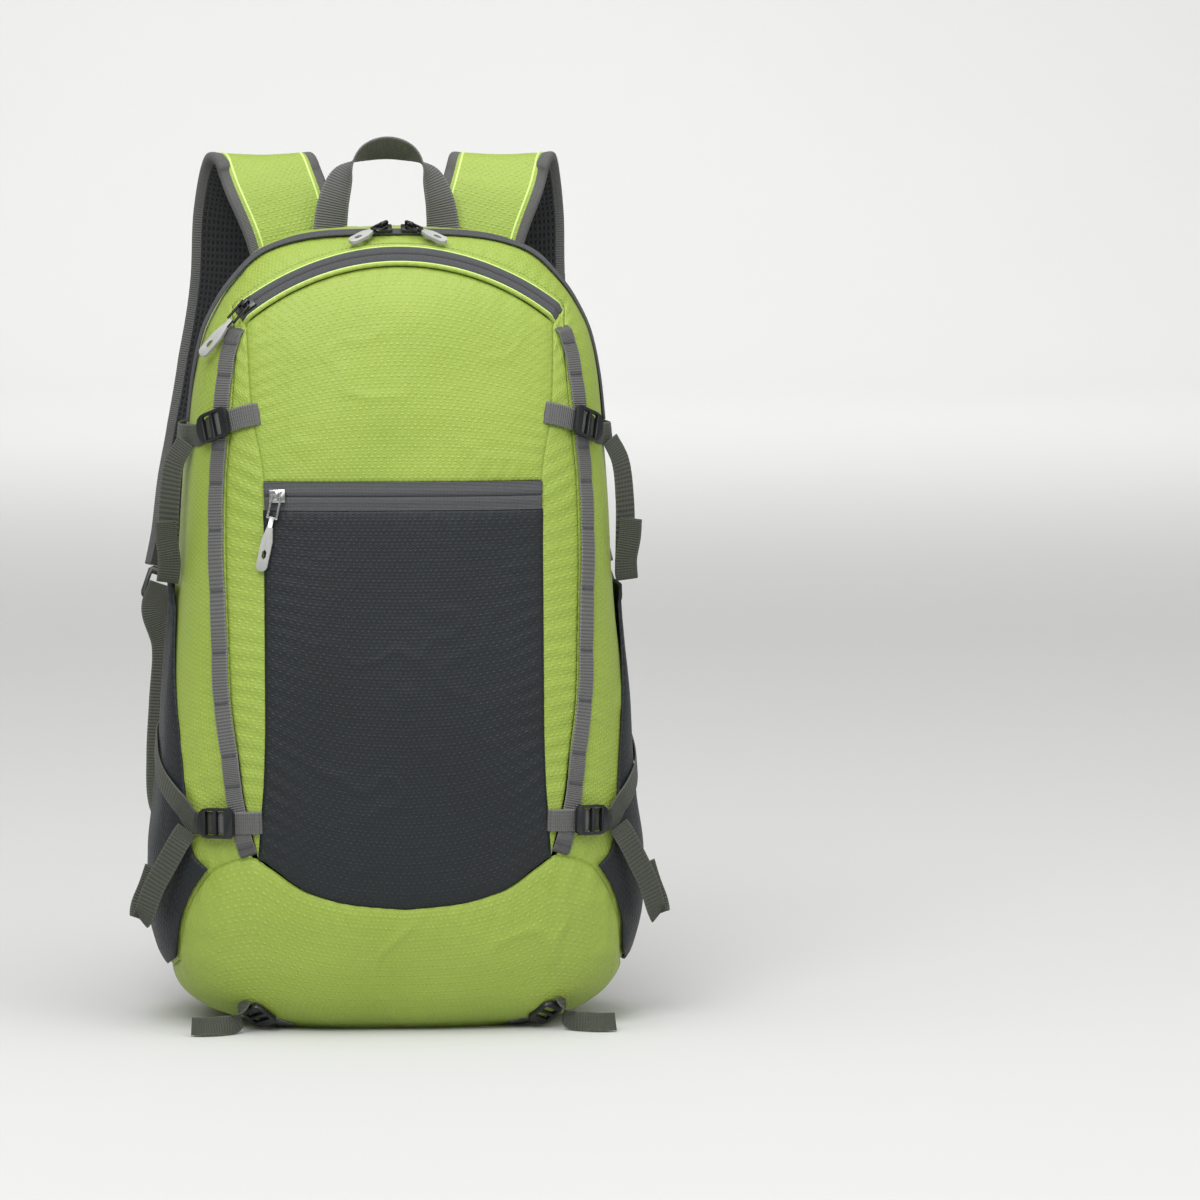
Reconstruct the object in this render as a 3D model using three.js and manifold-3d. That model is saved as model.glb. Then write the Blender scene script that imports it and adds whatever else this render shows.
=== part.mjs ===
// A packable backpack: a stuffed shell of thin cloth with padded shoulder straps.
// Millimetres, +Z up, the front faces -Y, the origin is the middle of the flat base.

import * as THREE from "three";
import { mergeVertices } from "three/addons/utils/BufferGeometryUtils.js";
import Module from "manifold-3d";

const wasm = await Module();
wasm.setup();

// Driving dimensions of the stuffed body
const bodyHeight = 500;
const bodyWidth = 300;
const frontDepth = 98;
const backDepth = 82;
const roundness = 3;

// Cloth, padding and the gaps between sewn pieces
const clothThickness = 2;
const padThickness = 4.5;
const padProud = 2.5;
const seamGap = 0.5;
const restGap = 0.4;

// Webbing
const webbingThickness = 1.2;
const daisyWidth = 13;
const compressionWidth = 14;
const handleWidth = 22;
const handleThickness = 1.6;

// Front zip arch and pocket
const archRadius = 150;
const zipWidth = 13;
const archHalfAngle = 40;
const archCrownShare = 0.956;
const archCentreUp = archCrownShare * bodyHeight - archRadius;
const pocketTop = 346;
const pocketZipHeight = 18;
const mainZipWidth = 7;
const mainZipBack = -15;
const mainZipHalfAngle = 69;
const mainZipSteps = 34;

// Back seam and shoulder straps
const backMiddleTurn = 180;
const backSeamShare = 0.86;
const backArchRadius = 150;
const backCrownShare = 0.96;
const backArchUp = backCrownShare * bodyHeight - backArchRadius;
const backArchTurn = 47;
const backSeamFlare = 0.25;
const strapWidth = 64;
const strapThickness = 8.5;
const strapReach = 72;
const strapLean = 0.1;
const adjusterWebbing = 19;
const adjusterLength = 24;
const adjusterThickness = 3.4;

// Compression buckle
const buckleLength = 25;
const buckleWidth = 19;
const buckleThickness = 3;
const slotLength = 5.6;
const slotWidth = 15.2;
const middleBar = 2;
const slotRise = 1.6;

// Zip sliders and pulls
const sliderLength = 10;
const sliderWidth = 8;
const sliderThickness = 2.2;
const bridgeWidth = 2.2;
const bridgeBar = 1.2;
const tunnelLength = 3.2;
const tunnelHeight = 2.4;
const bailBar = 1.2;
const bailInner = 4.5;
const tipWidth = 7;
const tipThickness = 2.4;
const tipHole = 1.6;
const pullSizes = {
  pocket: { bail: 15, neck: 6, tip: 28 },
  front: { bail: 15, neck: 5, tip: 24 },
  main: { bail: 9, neck: 3, tip: 18 },
};

// Sections of the body: half widths and depths as shares of the sizes above
const sections = [
  { up: 0, out: 0.6, front: 0.6, back: 0.86 },
  { up: 0.022, out: 0.81, front: 0.76, back: 0.93 },
  { up: 0.054, out: 0.92, front: 0.86, back: 0.965 },
  { up: 0.1, out: 0.98, front: 0.935, back: 0.99 },
  { up: 0.16, out: 1, front: 0.98, back: 1 },
  { up: 0.25, out: 0.995, front: 1, back: 1 },
  { up: 0.4, out: 0.962, front: 0.985, back: 1 },
  { up: 0.53, out: 0.925, front: 0.935, back: 1 },
  { up: 0.66, out: 0.897, front: 0.86, back: 0.99 },
  { up: 0.76, out: 0.868, front: 0.775, back: 0.97 },
  { up: 0.812, out: 0.85, front: 0.71, back: 0.95 },
  { up: 0.868, out: 0.813, front: 0.63, back: 0.93 },
  { up: 0.912, out: 0.747, front: 0.54, back: 0.91 },
  { up: 0.948, out: 0.66, front: 0.43, back: 0.88 },
  { up: 0.97, out: 0.587, front: 0.34, back: 0.85 },
  { up: 0.982, out: 0.507, front: 0.27, back: 0.82 },
  { up: 0.995, out: 0.367, front: 0.15, back: 0.76 },
  { up: 1, out: 0.1, front: 0.07, back: 0.68 },
];

// Seam between the front and the narrow side strips, as shares of half the width and the height
const princessSeam = [
  { up: 0.2255, out: 0.603 },
  { up: 0.28, out: 0.59 },
  { up: 0.32, out: 0.58 },
  { up: 0.4, out: 0.573 },
  { up: 0.6, out: 0.573 },
  { up: 0.692, out: 0.58 },
  { up: 0.784, out: 0.627 },
  { up: 0.886, out: 0.643 },
];

// Seam between the side strips and the gusset, under the inner edge of the daisy webbing
const gussetSeam = [
  { up: 0.2255, out: 0.613 },
  { up: 0.245, out: 0.629 },
  { up: 0.302, out: 0.67 },
  { up: 0.346, out: 0.687 },
  { up: 0.428, out: 0.72 },
  { up: 0.52, out: 0.73 },
  { up: 0.606, out: 0.737 },
  { up: 0.682, out: 0.733 },
  { up: 0.734, out: 0.72 },
  { up: 0.814, out: 0.698 },
  { up: 0.86, out: 0.69 },
  { up: 0.906, out: 0.699 },
];

// Middle line of the daisy webbing
const daisyLine = [
  { up: 0.228, out: 0.645 },
  { up: 0.245, out: 0.663 },
  { up: 0.302, out: 0.703 },
  { up: 0.346, out: 0.72 },
  { up: 0.426, out: 0.753 },
  { up: 0.504, out: 0.76 },
  { up: 0.606, out: 0.77 },
  { up: 0.682, out: 0.765 },
  { up: 0.734, out: 0.753 },
  { up: 0.788, out: 0.74 },
  { up: 0.848, out: 0.711 },
  { up: 0.88, out: 0.677 },
];

// Height of the base seam by the turn from the front middle, in degrees
const baseSeam = [
  { turn: 0, up: 0.162 },
  { turn: 19, up: 0.168 },
  { turn: 34, up: 0.184 },
  { turn: 43, up: 0.212 },
  { turn: 47, up: 0.224 },
  { turn: 56, up: 0.21 },
  { turn: 62, up: 0.178 },
  { turn: 67, up: 0.134 },
  { turn: 72, up: 0.084 },
  { turn: 90, up: 0.066 },
  { turn: 180, up: 0.066 },
];

// Where the base seam has its corner, and how many steps each stretch of the seams takes
const cornerTurn = 47;
const tuckTurn = 72;
const seamSteps = { front: 7, corner: 5, side: 3, back: 4, sideRise: 20, arch: 8, backRise: 18 };
const halfRun = seamSteps.sideRise + seamSteps.arch;

// Front edge of a side pocket from the base seam up to its mouth
const pocketEdge = [
  { rise: 0, turn: 58 },
  { rise: 0.14, turn: 62.5 },
  { rise: 0.36, turn: 65 },
  { rise: 0.6, turn: 69 },
  { rise: 0.87, turn: 77 },
  { rise: 1, turn: 81 },
];
const pocketBackTurn = 108;
const pocketMouth = 0.55;

// How far a side pocket stands off the gusset, as shares of its fullness
const pocketFullness = 4.5;
const pocketRest = 0.95;
const pocketHem = 3;
const pocketSwell = [
  { rise: 0, off: 0 },
  { rise: 0.14, off: 0.85 },
  { rise: 0.3, off: 1 },
  { rise: 0.44, off: 0.3 },
  { rise: 0.56, off: 0.05 },
  { rise: 0.74, off: 0.35 },
  { rise: 1, off: 0.2 },
];

// Run of a shoulder strap: out and up from the base middle, behind as a share of the reach
const strapRun = [
  { out: 0.36, up: 0.932, behind: 0, wide: 0.88 },
  { out: 0.41, up: 1.0, behind: 0.1, wide: 0.95 },
  { out: 0.473, up: 1.052, behind: 0.26, wide: 1 },
  { out: 0.51, up: 1.078, behind: 0.46, wide: 1.01 },
  { out: 0.55, up: 1.07, behind: 0.68, wide: 1.01 },
  { out: 0.59, up: 1.01, behind: 0.87, wide: 1 },
  { out: 0.607, up: 0.91, behind: 0.97, wide: 1 },
  { out: 0.667, up: 0.81, behind: 1.02, wide: 0.97 },
  { out: 0.74, up: 0.722, behind: 1, wide: 0.87 },
  { out: 0.807, up: 0.66, behind: 0.94, wide: 0.74 },
  { out: 0.867, up: 0.59, behind: 0.87, wide: 0.6 },
  { out: 0.92, up: 0.545, behind: 0.81, wide: 0.5 },
];

// Webbing from the adjuster down to its tab at the back seam
const adjusterRun = [
  { out: 0.937, up: 0.45, behind: 0.64 },
  { out: 0.95, up: 0.38, behind: 0.54 },
  { out: 0.965, up: 0.31, behind: 0.38 },
  { out: 0.96, up: 0.25, behind: 0.16 },
];
const adjusterSeat = { turn: 114, up: 0.2 };

// Gear strap under the front of the base
const gearPlace = { turn: 54, up: 0.026, under: 0.006 };

// Tail of the gear strap, in mm from the lock's end; it stands on its edge and leans back
const bottomTail = [
  { out: 0, ahead: 0, up: 0, lean: 0 },
  { out: 6, ahead: 5, up: 7.2, lean: 0.1 },
  { out: 16, ahead: 10, up: 6.6, lean: 0.5 },
  { out: 26, ahead: 12, up: 6.4, lean: 0.6 },
  { out: 34, ahead: 11, up: 6.4, lean: 0.6 },
];

// Half of the haul handle, from its foot to the top; the width runs sideways, back and down
const handleRun = [
  { out: 0.24, up: 0.964, deep: 0.862, sideways: 1, down: 0 },
  { out: 0.245, up: 1.0, deep: 0.865, sideways: 0.96, down: 0 },
  { out: 0.24, up: 1.035, deep: 0.85, sideways: 0.85, down: 0.1 },
  { out: 0.2, up: 1.066, deep: 0.85, sideways: 0.6, down: 0.4 },
  { out: 0.11, up: 1.088, deep: 0.85, sideways: 0.25, down: 0.58 },
  { out: 0, up: 1.095, deep: 0.85, sideways: 0, down: 0.62 },
];

// Loose tails of the compression straps: depth and height on the side, and how far they stand off it
const tailReach = 14;
const upperTail = [
  { deep: -0.335, up: 0.737, off: 0.4 },
  { deep: -0.31, up: 0.71, off: 0.72 },
  { deep: -0.28, up: 0.66, off: 0.75 },
  { deep: -0.25, up: 0.6, off: 0.62 },
  { deep: -0.25, up: 0.568, off: 0.56 },
  { deep: -0.29, up: 0.56, off: 0.62 },
  { deep: -0.34, up: 0.585, off: 0.66 },
  { deep: -0.38, up: 0.615, off: 0.95 },
  { deep: -0.4, up: 0.638, off: 1.1 },
];
const lowerTail = [
  { deep: -0.76, up: 0.258, off: 0.85 },
  { deep: -0.765, up: 0.248, off: 1.15 },
  { deep: -0.71, up: 0.216, off: 1.3 },
  { deep: -0.64, up: 0.18, off: 1.5 },
  { deep: -0.58, up: 0.148, off: 1.62 },
  { deep: -0.53, up: 0.14, off: 1.6 },
  { deep: -0.5, up: 0.156, off: 1.4 },
  { deep: -0.53, up: 0.182, off: 1.15 },
  { deep: -0.56, up: 0.205, off: 1.0 },
];

const materials = {
  lime: new THREE.MeshStandardMaterial({ color: 0x9bbf3f, roughness: 0.7 }),
  slate: new THREE.MeshStandardMaterial({ color: 0x3b444a, roughness: 0.75 }),
  webbing: new THREE.MeshStandardMaterial({ color: 0x6b6c68, roughness: 0.85 }),
  mesh: new THREE.MeshStandardMaterial({ color: 0x232524, roughness: 0.95 }),
  plastic: new THREE.MeshStandardMaterial({ color: 0x1b1c1c, roughness: 0.4 }),
  metal: new THREE.MeshStandardMaterial({ color: 0xa9aba8, roughness: 0.3, metalness: 0.9 }),
  tip: new THREE.MeshStandardMaterial({ color: 0xafb1ac, roughness: 0.5 }),
};

const bag = new THREE.Group();
bag.name = "packable_backpack";

function vector(x, y, z) {
  return new THREE.Vector3(x, y, z);
}

function blend(a, b, share) {
  return a + (b - a) * share;
}

function add(name, geometry, material) {
  const mesh = new THREE.Mesh(geometry, material);
  mesh.name = name;
  bag.add(mesh);
  return mesh;
}

// Slopes of a smooth curve through a table column that never overshoots its rows
function slopesOf(rows, key, column) {
  const steps = rows.slice(1).map((row, i) => (row[column] - rows[i][column]) / (row[key] - rows[i][key]));
  return rows.map((row, i) => {
    if (i === 0) return steps[0];
    if (i === rows.length - 1) return steps[i - 1];
    const before = steps[i - 1];
    const after = steps[i];
    return before * after > 0 ? (2 * before * after) / (before + after) : 0;
  });
}

const slopeCache = new Map();

function readTable(rows, key, column, at) {
  if (!slopeCache.has(rows)) slopeCache.set(rows, {});
  const known = slopeCache.get(rows);
  known[column] ??= slopesOf(rows, key, column);
  const last = rows.length - 1;
  if (at <= rows[0][key]) return rows[0][column];
  if (at >= rows[last][key]) return rows[last][column];
  let i = 0;
  while (rows[i + 1][key] < at) i += 1;
  const span = rows[i + 1][key] - rows[i][key];
  const t = (at - rows[i][key]) / span;
  const start = rows[i][column];
  const end = rows[i + 1][column];
  const from = known[column][i] * span;
  const to = known[column][i + 1] * span;
  return start + t * (from + t * (3 * (end - start) - 2 * from - to + t * (2 * (start - end) + from + to)));
}

// The body's surface
function sectionAt(z) {
  const up = THREE.MathUtils.clamp(z / bodyHeight, 0, 1);
  return {
    out: readTable(sections, "up", "out", up) * bodyWidth / 2,
    front: readTable(sections, "up", "front", up) * frontDepth,
    back: readTable(sections, "up", "back", up) * backDepth,
  };
}

function field(p) {
  const section = sectionAt(p.z);
  const depth = p.y < 0 ? section.front : section.back;
  return Math.abs(p.x / section.out) ** roundness + Math.abs(p.y / depth) ** roundness - 1;
}

// Where a ray from inside leaves the body
function cast(from, direction) {
  const ray = direction.clone().normalize();
  const plane = ray.z < 0 ? 0 : bodyHeight;
  let far = bodyHeight + bodyWidth;
  if (Math.abs(ray.z) > 1e-9) far = Math.min(far, (plane - from.z) / ray.z);
  const end = from.clone().addScaledVector(ray, far);
  if (Math.abs(end.z - plane) < 1e-6 && field(end) <= 0) {
    end.z = plane;
    return end;
  }
  let near = 0;
  const at = vector();
  for (let i = 0; i < 32; i += 1) {
    const middle = (near + far) / 2;
    at.copy(from).addScaledVector(ray, middle);
    if (field(at) < 0) near = middle;
    else far = middle;
  }
  return from.clone().addScaledVector(ray, near);
}

function spine(z) {
  return vector(0, 0, THREE.MathUtils.clamp(z, 0.24 * bodyHeight, 0.72 * bodyHeight));
}

function project(p) {
  const from = spine(p.z);
  return cast(from, p.clone().sub(from));
}

function normalAt(p) {
  if (p.z < 1e-6) return vector(0, 0, -1);
  const step = 0.02;
  const z = Math.min(p.z, bodyHeight - step);
  const slope = (dx, dy, dz) =>
    field(vector(p.x + dx, p.y + dy, z + dz)) - field(vector(p.x - dx, p.y - dy, z - dz));
  return vector(slope(step, 0, 0), slope(0, step, 0), slope(0, 0, step)).normalize();
}

function lifted(p, height) {
  return p.clone().addScaledVector(normalAt(p), height);
}

// The surface point straight before or behind a place in the front view
function facePoint(x, z, front = true) {
  const section = sectionAt(z);
  const rest = Math.max(0, 1 - Math.abs(x / section.out) ** roundness) ** (1 / roundness);
  const reach = Math.min(Math.abs(x), section.out) * Math.sign(x);
  return vector(reach, front ? -section.front * rest : section.back * rest, z);
}

// The surface point at a height, turned from the front middle towards +X
function turnPoint(turn, z) {
  const angle = THREE.MathUtils.degToRad(turn);
  return cast(vector(0, 0, z), vector(Math.sin(angle), -Math.cos(angle), 0));
}

function turnOf(p) {
  return THREE.MathUtils.radToDeg(Math.abs(Math.atan2(p.x, -p.y)));
}

function baseSeamUp(turn) {
  return readTable(baseSeam, "turn", "up", turn) * bodyHeight;
}

// Closed slab between two lifts over a patch of points; u runs across and v along
function slab(outerAt, innerAt, columns, rows, ring = false) {
  const positions = [];
  const index = [];
  const width = columns + 1;
  const layer = width * (rows + 1);
  for (const pointAt of [outerAt, innerAt]) {
    for (let j = 0; j <= rows; j += 1) {
      for (let i = 0; i <= columns; i += 1) {
        const turn = ring && i === columns ? 0 : i / columns;
        positions.push(...pointAt(turn, j / rows).toArray());
      }
    }
  }
  const corner = (i) => vector(positions[3 * i], positions[3 * i + 1], positions[3 * i + 2]);
  const face = (a, b, c) => {
    const area = corner(b).sub(corner(a)).cross(corner(c).sub(corner(a))).length();
    if (area > 1e-6) index.push(a, b, c);
  };
  const quad = (a, b, c, d) => {
    face(a, b, c);
    face(a, c, d);
  };
  for (let j = 0; j < rows; j += 1) {
    for (let i = 0; i < columns; i += 1) {
      const a = j * width + i;
      quad(a, a + 1, a + 1 + width, a + width);
      quad(layer + a, layer + a + width, layer + a + 1 + width, layer + a + 1);
    }
  }
  for (let i = 0; i < columns; i += 1) {
    const end = rows * width + i;
    quad(i, layer + i, layer + i + 1, i + 1);
    quad(end, end + 1, layer + end + 1, layer + end);
  }
  if (!ring) {
    for (let j = 0; j < rows; j += 1) {
      const left = j * width;
      const right = left + columns;
      quad(left, left + width, layer + left + width, layer + left);
      quad(right, layer + right, layer + right + width, right + width);
    }
  }
  const geometry = new THREE.BufferGeometry();
  geometry.setAttribute("position", new THREE.Float32BufferAttribute(positions, 3));
  geometry.setIndex(index);
  return facingOut(mergeVertices(geometry, 1e-4));
}

// Turns a closed mesh right side out
function facingOut(geometry) {
  const places = geometry.getAttribute("position");
  const index = geometry.getIndex().array;
  const at = (i) => vector().fromBufferAttribute(places, index[i]);
  let volume = 0;
  for (let i = 0; i < index.length; i += 3) volume += at(i).dot(at(i + 1).cross(at(i + 2)));
  if (volume < 0) {
    for (let i = 0; i < index.length; i += 3) [index[i + 1], index[i + 2]] = [index[i + 2], index[i + 1]];
  }
  return geometry;
}

// Slab that follows the body's surface; low and high are lifts or functions of u and v
function panel(pointAt, columns, rows, low, high, ring = false) {
  const liftOf = (lift, u, v) => (typeof lift === "function" ? lift(u, v) : lift);
  const layerAt = (lift) => (u, v) => lifted(pointAt(u, v), liftOf(lift, u, v));
  return slab(layerAt(high), layerAt(low), columns, rows, ring);
}

function mirrored(geometry) {
  const copy = geometry.clone().scale(-1, 1, 1);
  const index = copy.getIndex().array;
  for (let i = 0; i < index.length; i += 3) [index[i + 1], index[i + 2]] = [index[i + 2], index[i + 1]];
  return copy;
}

function addPair(name, geometry, material) {
  add(`${name}_right`, geometry, material);
  add(`${name}_left`, mirrored(geometry), material);
}

function curveThrough(points) {
  return new THREE.CatmullRomCurve3(points, false, "centripetal");
}

// Webbing that lies on the body; lift is a number or a function of the share along and the place
function laidWebbing(points, width, steps, lift, thickness = webbingThickness) {
  const curve = curveThrough(points.map(project));
  const liftAt = (share, place) => (typeof lift === "function" ? lift(share, place) : lift);
  const pointAt = (u, v) => {
    const centre = project(curve.getPoint(v));
    const ahead = curve.getTangent(v);
    const across = normalAt(centre).cross(ahead).normalize();
    return project(centre.addScaledVector(across, (u - 0.5) * width));
  };
  const low = (u, v) => liftAt(v, pointAt(u, v));
  return panel(pointAt, 2, steps, low, (u, v) => low(u, v) + thickness);
}

// Webbing or padding in free air; each row gives a centre, an across direction and a width
function freeBand(rows, thickness, steps, bevel = 0) {
  const curve = curveThrough(rows.map((row) => row.at));
  const sideCurve = curveThrough(rows.map((row) => row.across));
  const spans = rows.length - 1;
  const widthAt = (t) => {
    const i = Math.min(Math.floor(t * spans), spans - 1);
    return blend(rows[i].width, rows[i + 1].width, t * spans - i);
  };
  const corners = [[-1, -1], [-1, 1], [1, 1], [1, -1]];
  const outline = bevel > 0
    ? corners.flatMap(([s, f], i) => (i % 2 ? [[s, f, 1, 0], [s, f, 0, 1]] : [[s, f, 0, 1], [s, f, 1, 0]]))
    : corners.map(([s, f]) => [s, f, 0, 0]);
  const count = outline.length;
  const positions = [];
  for (let k = 0; k <= steps; k += 1) {
    const t = k / steps;
    const centre = curve.getPoint(t);
    const ahead = curve.getTangent(t);
    const side = sideCurve.getPoint(t);
    side.addScaledVector(ahead, -side.dot(ahead)).normalize();
    const face = side.clone().cross(ahead).normalize();
    for (const [s, f, inSide, inFace] of outline) {
      const reach = widthAt(t) / 2 - (1 - inSide) * bevel;
      const depth = thickness / 2 - (1 - inFace) * bevel;
      const corner = centre.clone().addScaledVector(side, s * reach).addScaledVector(face, f * depth);
      positions.push(...corner.toArray());
    }
  }
  const index = [];
  for (let k = 0; k < steps; k += 1) {
    for (let i = 0; i < count; i += 1) {
      const a = k * count + i;
      const b = k * count + ((i + 1) % count);
      index.push(a, b, b + count, a, b + count, a + count);
    }
  }
  const last = steps * count;
  for (let i = 1; i < count - 1; i += 1) {
    index.push(0, i + 1, i);
    index.push(last, last + i, last + i + 1);
  }
  const geometry = new THREE.BufferGeometry();
  geometry.setAttribute("position", new THREE.Float32BufferAttribute(positions, 3));
  geometry.setIndex(index);
  return facingOut(geometry);
}

// A mesh of shared corners, without normals or texture places
function bare(geometry) {
  const plain = new THREE.BufferGeometry();
  plain.setAttribute("position", geometry.getAttribute("position").clone());
  if (geometry.getIndex()) plain.setIndex(geometry.getIndex().clone());
  return mergeVertices(plain, 1e-4);
}

// Joins and cuts of closed meshes
function toSolid(geometry) {
  const merged = bare(geometry);
  return new wasm.Manifold(new wasm.Mesh({
    numProp: 3,
    vertProperties: new Float32Array(merged.getAttribute("position").array),
    triVerts: new Uint32Array(merged.getIndex().array),
  }));
}

function fromSolid(solid) {
  const mesh = solid.getMesh();
  const geometry = new THREE.BufferGeometry();
  geometry.setAttribute("position", new THREE.BufferAttribute(mesh.vertProperties, 3));
  geometry.setIndex(new THREE.BufferAttribute(mesh.triVerts, 1));
  return geometry;
}

function joined(...geometries) {
  return fromSolid(geometries.map(toSolid).reduce((sum, next) => sum.add(next)));
}

function cutBy(geometry, cutters) {
  return fromSolid(cutters.map(toSolid).reduce((rest, next) => rest.subtract(next), toSolid(geometry)));
}

// Place on the body with its normal up and a direction along the cloth
function surfaceFrame(place, direction) {
  const origin = project(place);
  const up = normalAt(origin);
  const along = direction.clone().addScaledVector(up, -direction.dot(up)).normalize();
  const across = up.clone().cross(along);
  return { origin, up, along, across };
}

function placed(geometry, frame, lift) {
  const basis = new THREE.Matrix4().makeBasis(frame.along, frame.across, frame.up);
  basis.setPosition(frame.origin.clone().addScaledVector(frame.up, lift));
  return geometry.clone().applyMatrix4(basis);
}

function box(length, width, height, x, y, z) {
  return new THREE.BoxGeometry(length, width, height).translate(x, y, z);
}

// Lime upper front: rows rise from the pocket's straight top to the arch of the zip
function frontPanel() {
  const half = THREE.MathUtils.degToRad(archHalfAngle);
  const arch = (t) => (Math.sqrt(1 - (t * Math.sin(half)) ** 2) - Math.cos(half)) / (1 - Math.cos(half));
  const low = pocketTop + seamGap / 2;
  const edgeTop = archCentreUp + archRadius * Math.cos(half) - seamGap / 2;
  const crown = archCentreUp + archRadius - seamGap / 2;
  const pointAt = (u, v) => {
    const t = 2 * u - 1;
    const edgeUp = blend(low, edgeTop, v);
    const edgeOut = seamOut(princessSeam, edgeUp) - seamGap / 2;
    const z = edgeUp + (blend(low, crown, v) - edgeUp) * arch(t);
    return facePoint(t * edgeOut, z);
  };
  return panel(pointAt, 10, 6, -clothThickness, 0);
}

function seamOut(rows, z) {
  return readTable(rows, "up", "out", z / bodyHeight) * bodyWidth / 2;
}

// Slate pocket panel: a straight top and a lower edge that follows the base seam
function frontPocket() {
  const top = pocketTop - pocketZipHeight - seamGap / 2;
  const corner = turnPoint(cornerTurn, baseSeamUp(cornerTurn));
  const pointAt = (u, v) => {
    const turn = cornerTurn * Math.abs(2 * u - 1);
    const low = baseSeamUp(turn) + seamGap / 2;
    const share = Math.sign(u - 0.5) * turnPoint(turn, low).x / corner.x;
    const edgeUp = blend(corner.z, top, v);
    return facePoint(share * (seamOut(princessSeam, edgeUp) - seamGap / 2), blend(low, top, v));
  };
  return panel(pointAt, 2 * seamSteps.front, 8, -clothThickness, 0);
}

function pocketZip() {
  const low = pocketTop - pocketZipHeight + seamGap / 2;
  const high = pocketTop - seamGap / 2;
  const rise = [0, 0.4, 1.2, 0.4, 0];
  const pointAt = (u, v) => {
    const z = blend(low, high, v);
    return facePoint((2 * u - 1) * (seamOut(princessSeam, z) - seamGap / 2), z);
  };
  const top = (u, v) => rise[Math.round(v * (rise.length - 1))];
  return panel(pointAt, 8, rise.length - 1, -clothThickness, top);
}

// Narrow strips between the front and the gusset
function sideFront() {
  const low = princessSeam[0].up * bodyHeight;
  const innerTop = princessSeam.at(-1).up * bodyHeight;
  const outerTop = gussetSeam.at(-1).up * bodyHeight;
  const pointAt = (u, v) => {
    const innerUp = v === 1 ? innerTop - 2 * seamGap : blend(low, innerTop, v);
    const outerUp = v === 1 ? outerTop - 2 * seamGap : blend(low, outerTop, v);
    const inner = vector(seamOut(princessSeam, innerUp) + seamGap / 2, 0, innerUp);
    const outer = vector(seamOut(gussetSeam, outerUp) - seamGap / 2, 0, outerUp);
    const at = inner.lerp(outer, u);
    return facePoint(at.x, at.z);
  };
  return panel(pointAt, 1, seamSteps.sideRise, -clothThickness, 0);
}

// Arched zip of the front compartment
function archPoint(angle, radius) {
  const turn = THREE.MathUtils.degToRad(angle);
  return facePoint(radius * Math.sin(turn), archCentreUp + radius * Math.cos(turn));
}

function frontZip() {
  const rise = [0, 1.2, 0];
  const pointAt = (u, v) => {
    const angle = blend(-archHalfAngle, archHalfAngle, v);
    return archPoint(angle, blend(archRadius + seamGap / 2, archRadius + zipWidth - seamGap / 2, u));
  };
  const top = (u) => rise[Math.round(u * (rise.length - 1))];
  return panel(pointAt, rise.length - 1, 2 * seamSteps.arch, -clothThickness, top);
}

// Share of the way from the base corner to the top middle, at a share of the whole run
function climb(share) {
  return { side: share < 0.5 ? -1 : 1, run: 1 - Math.abs(2 * share - 1) };
}

// Seam from the base up one side, over the arch and down the other
function frontSeamPoint(share) {
  const { side, run } = climb(share);
  const sideShare = seamSteps.sideRise / halfRun;
  if (run <= sideShare) {
    const z = blend(gussetSeam[0].up, gussetSeam.at(-1).up, run / sideShare) * bodyHeight;
    return facePoint(side * (seamOut(gussetSeam, z) + seamGap / 2), z);
  }
  const angle = archHalfAngle * (1 - run) / (1 - sideShare);
  return archPoint(side * angle, archRadius + zipWidth + seamGap / 2);
}

function backSeamPoint(share, inset) {
  const { side, run } = climb(share);
  const sideShare = seamSteps.backRise / halfRun;
  const archTurn = THREE.MathUtils.degToRad(backArchTurn);
  const radius = backArchRadius - inset;
  const shoulder = { out: radius * Math.sin(archTurn), up: backArchUp + radius * Math.cos(archTurn) };
  if (run <= sideShare) {
    const z = blend(baseSeamUp(backMiddleTurn) + seamGap / 2, shoulder.up, run / sideShare);
    const reach = shoulder.out + (shoulder.up - z) * backSeamFlare;
    return facePoint(side * Math.min(sectionAt(z).out * backSeamShare - inset, reach), z, false);
  }
  const angle = archTurn * (1 - run) / (1 - sideShare);
  return facePoint(side * radius * Math.sin(angle), backArchUp + radius * Math.cos(angle), false);
}

// Turns from the front at which the base seam is cut into steps
function seamTurns() {
  const backTurn = turnOf(backSeamPoint(1, -seamGap / 2));
  const stops = [
    [0, cornerTurn, seamSteps.front],
    [cornerTurn, tuckTurn, seamSteps.corner],
    [tuckTurn, backTurn, seamSteps.side],
    [backTurn, backMiddleTurn, seamSteps.back],
  ];
  const turns = stops.flatMap(([from, to, steps]) =>
    Array.from({ length: steps }, (_, i) => blend(from, to, i / steps)));
  return [...turns, backMiddleTurn];
}

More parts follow.
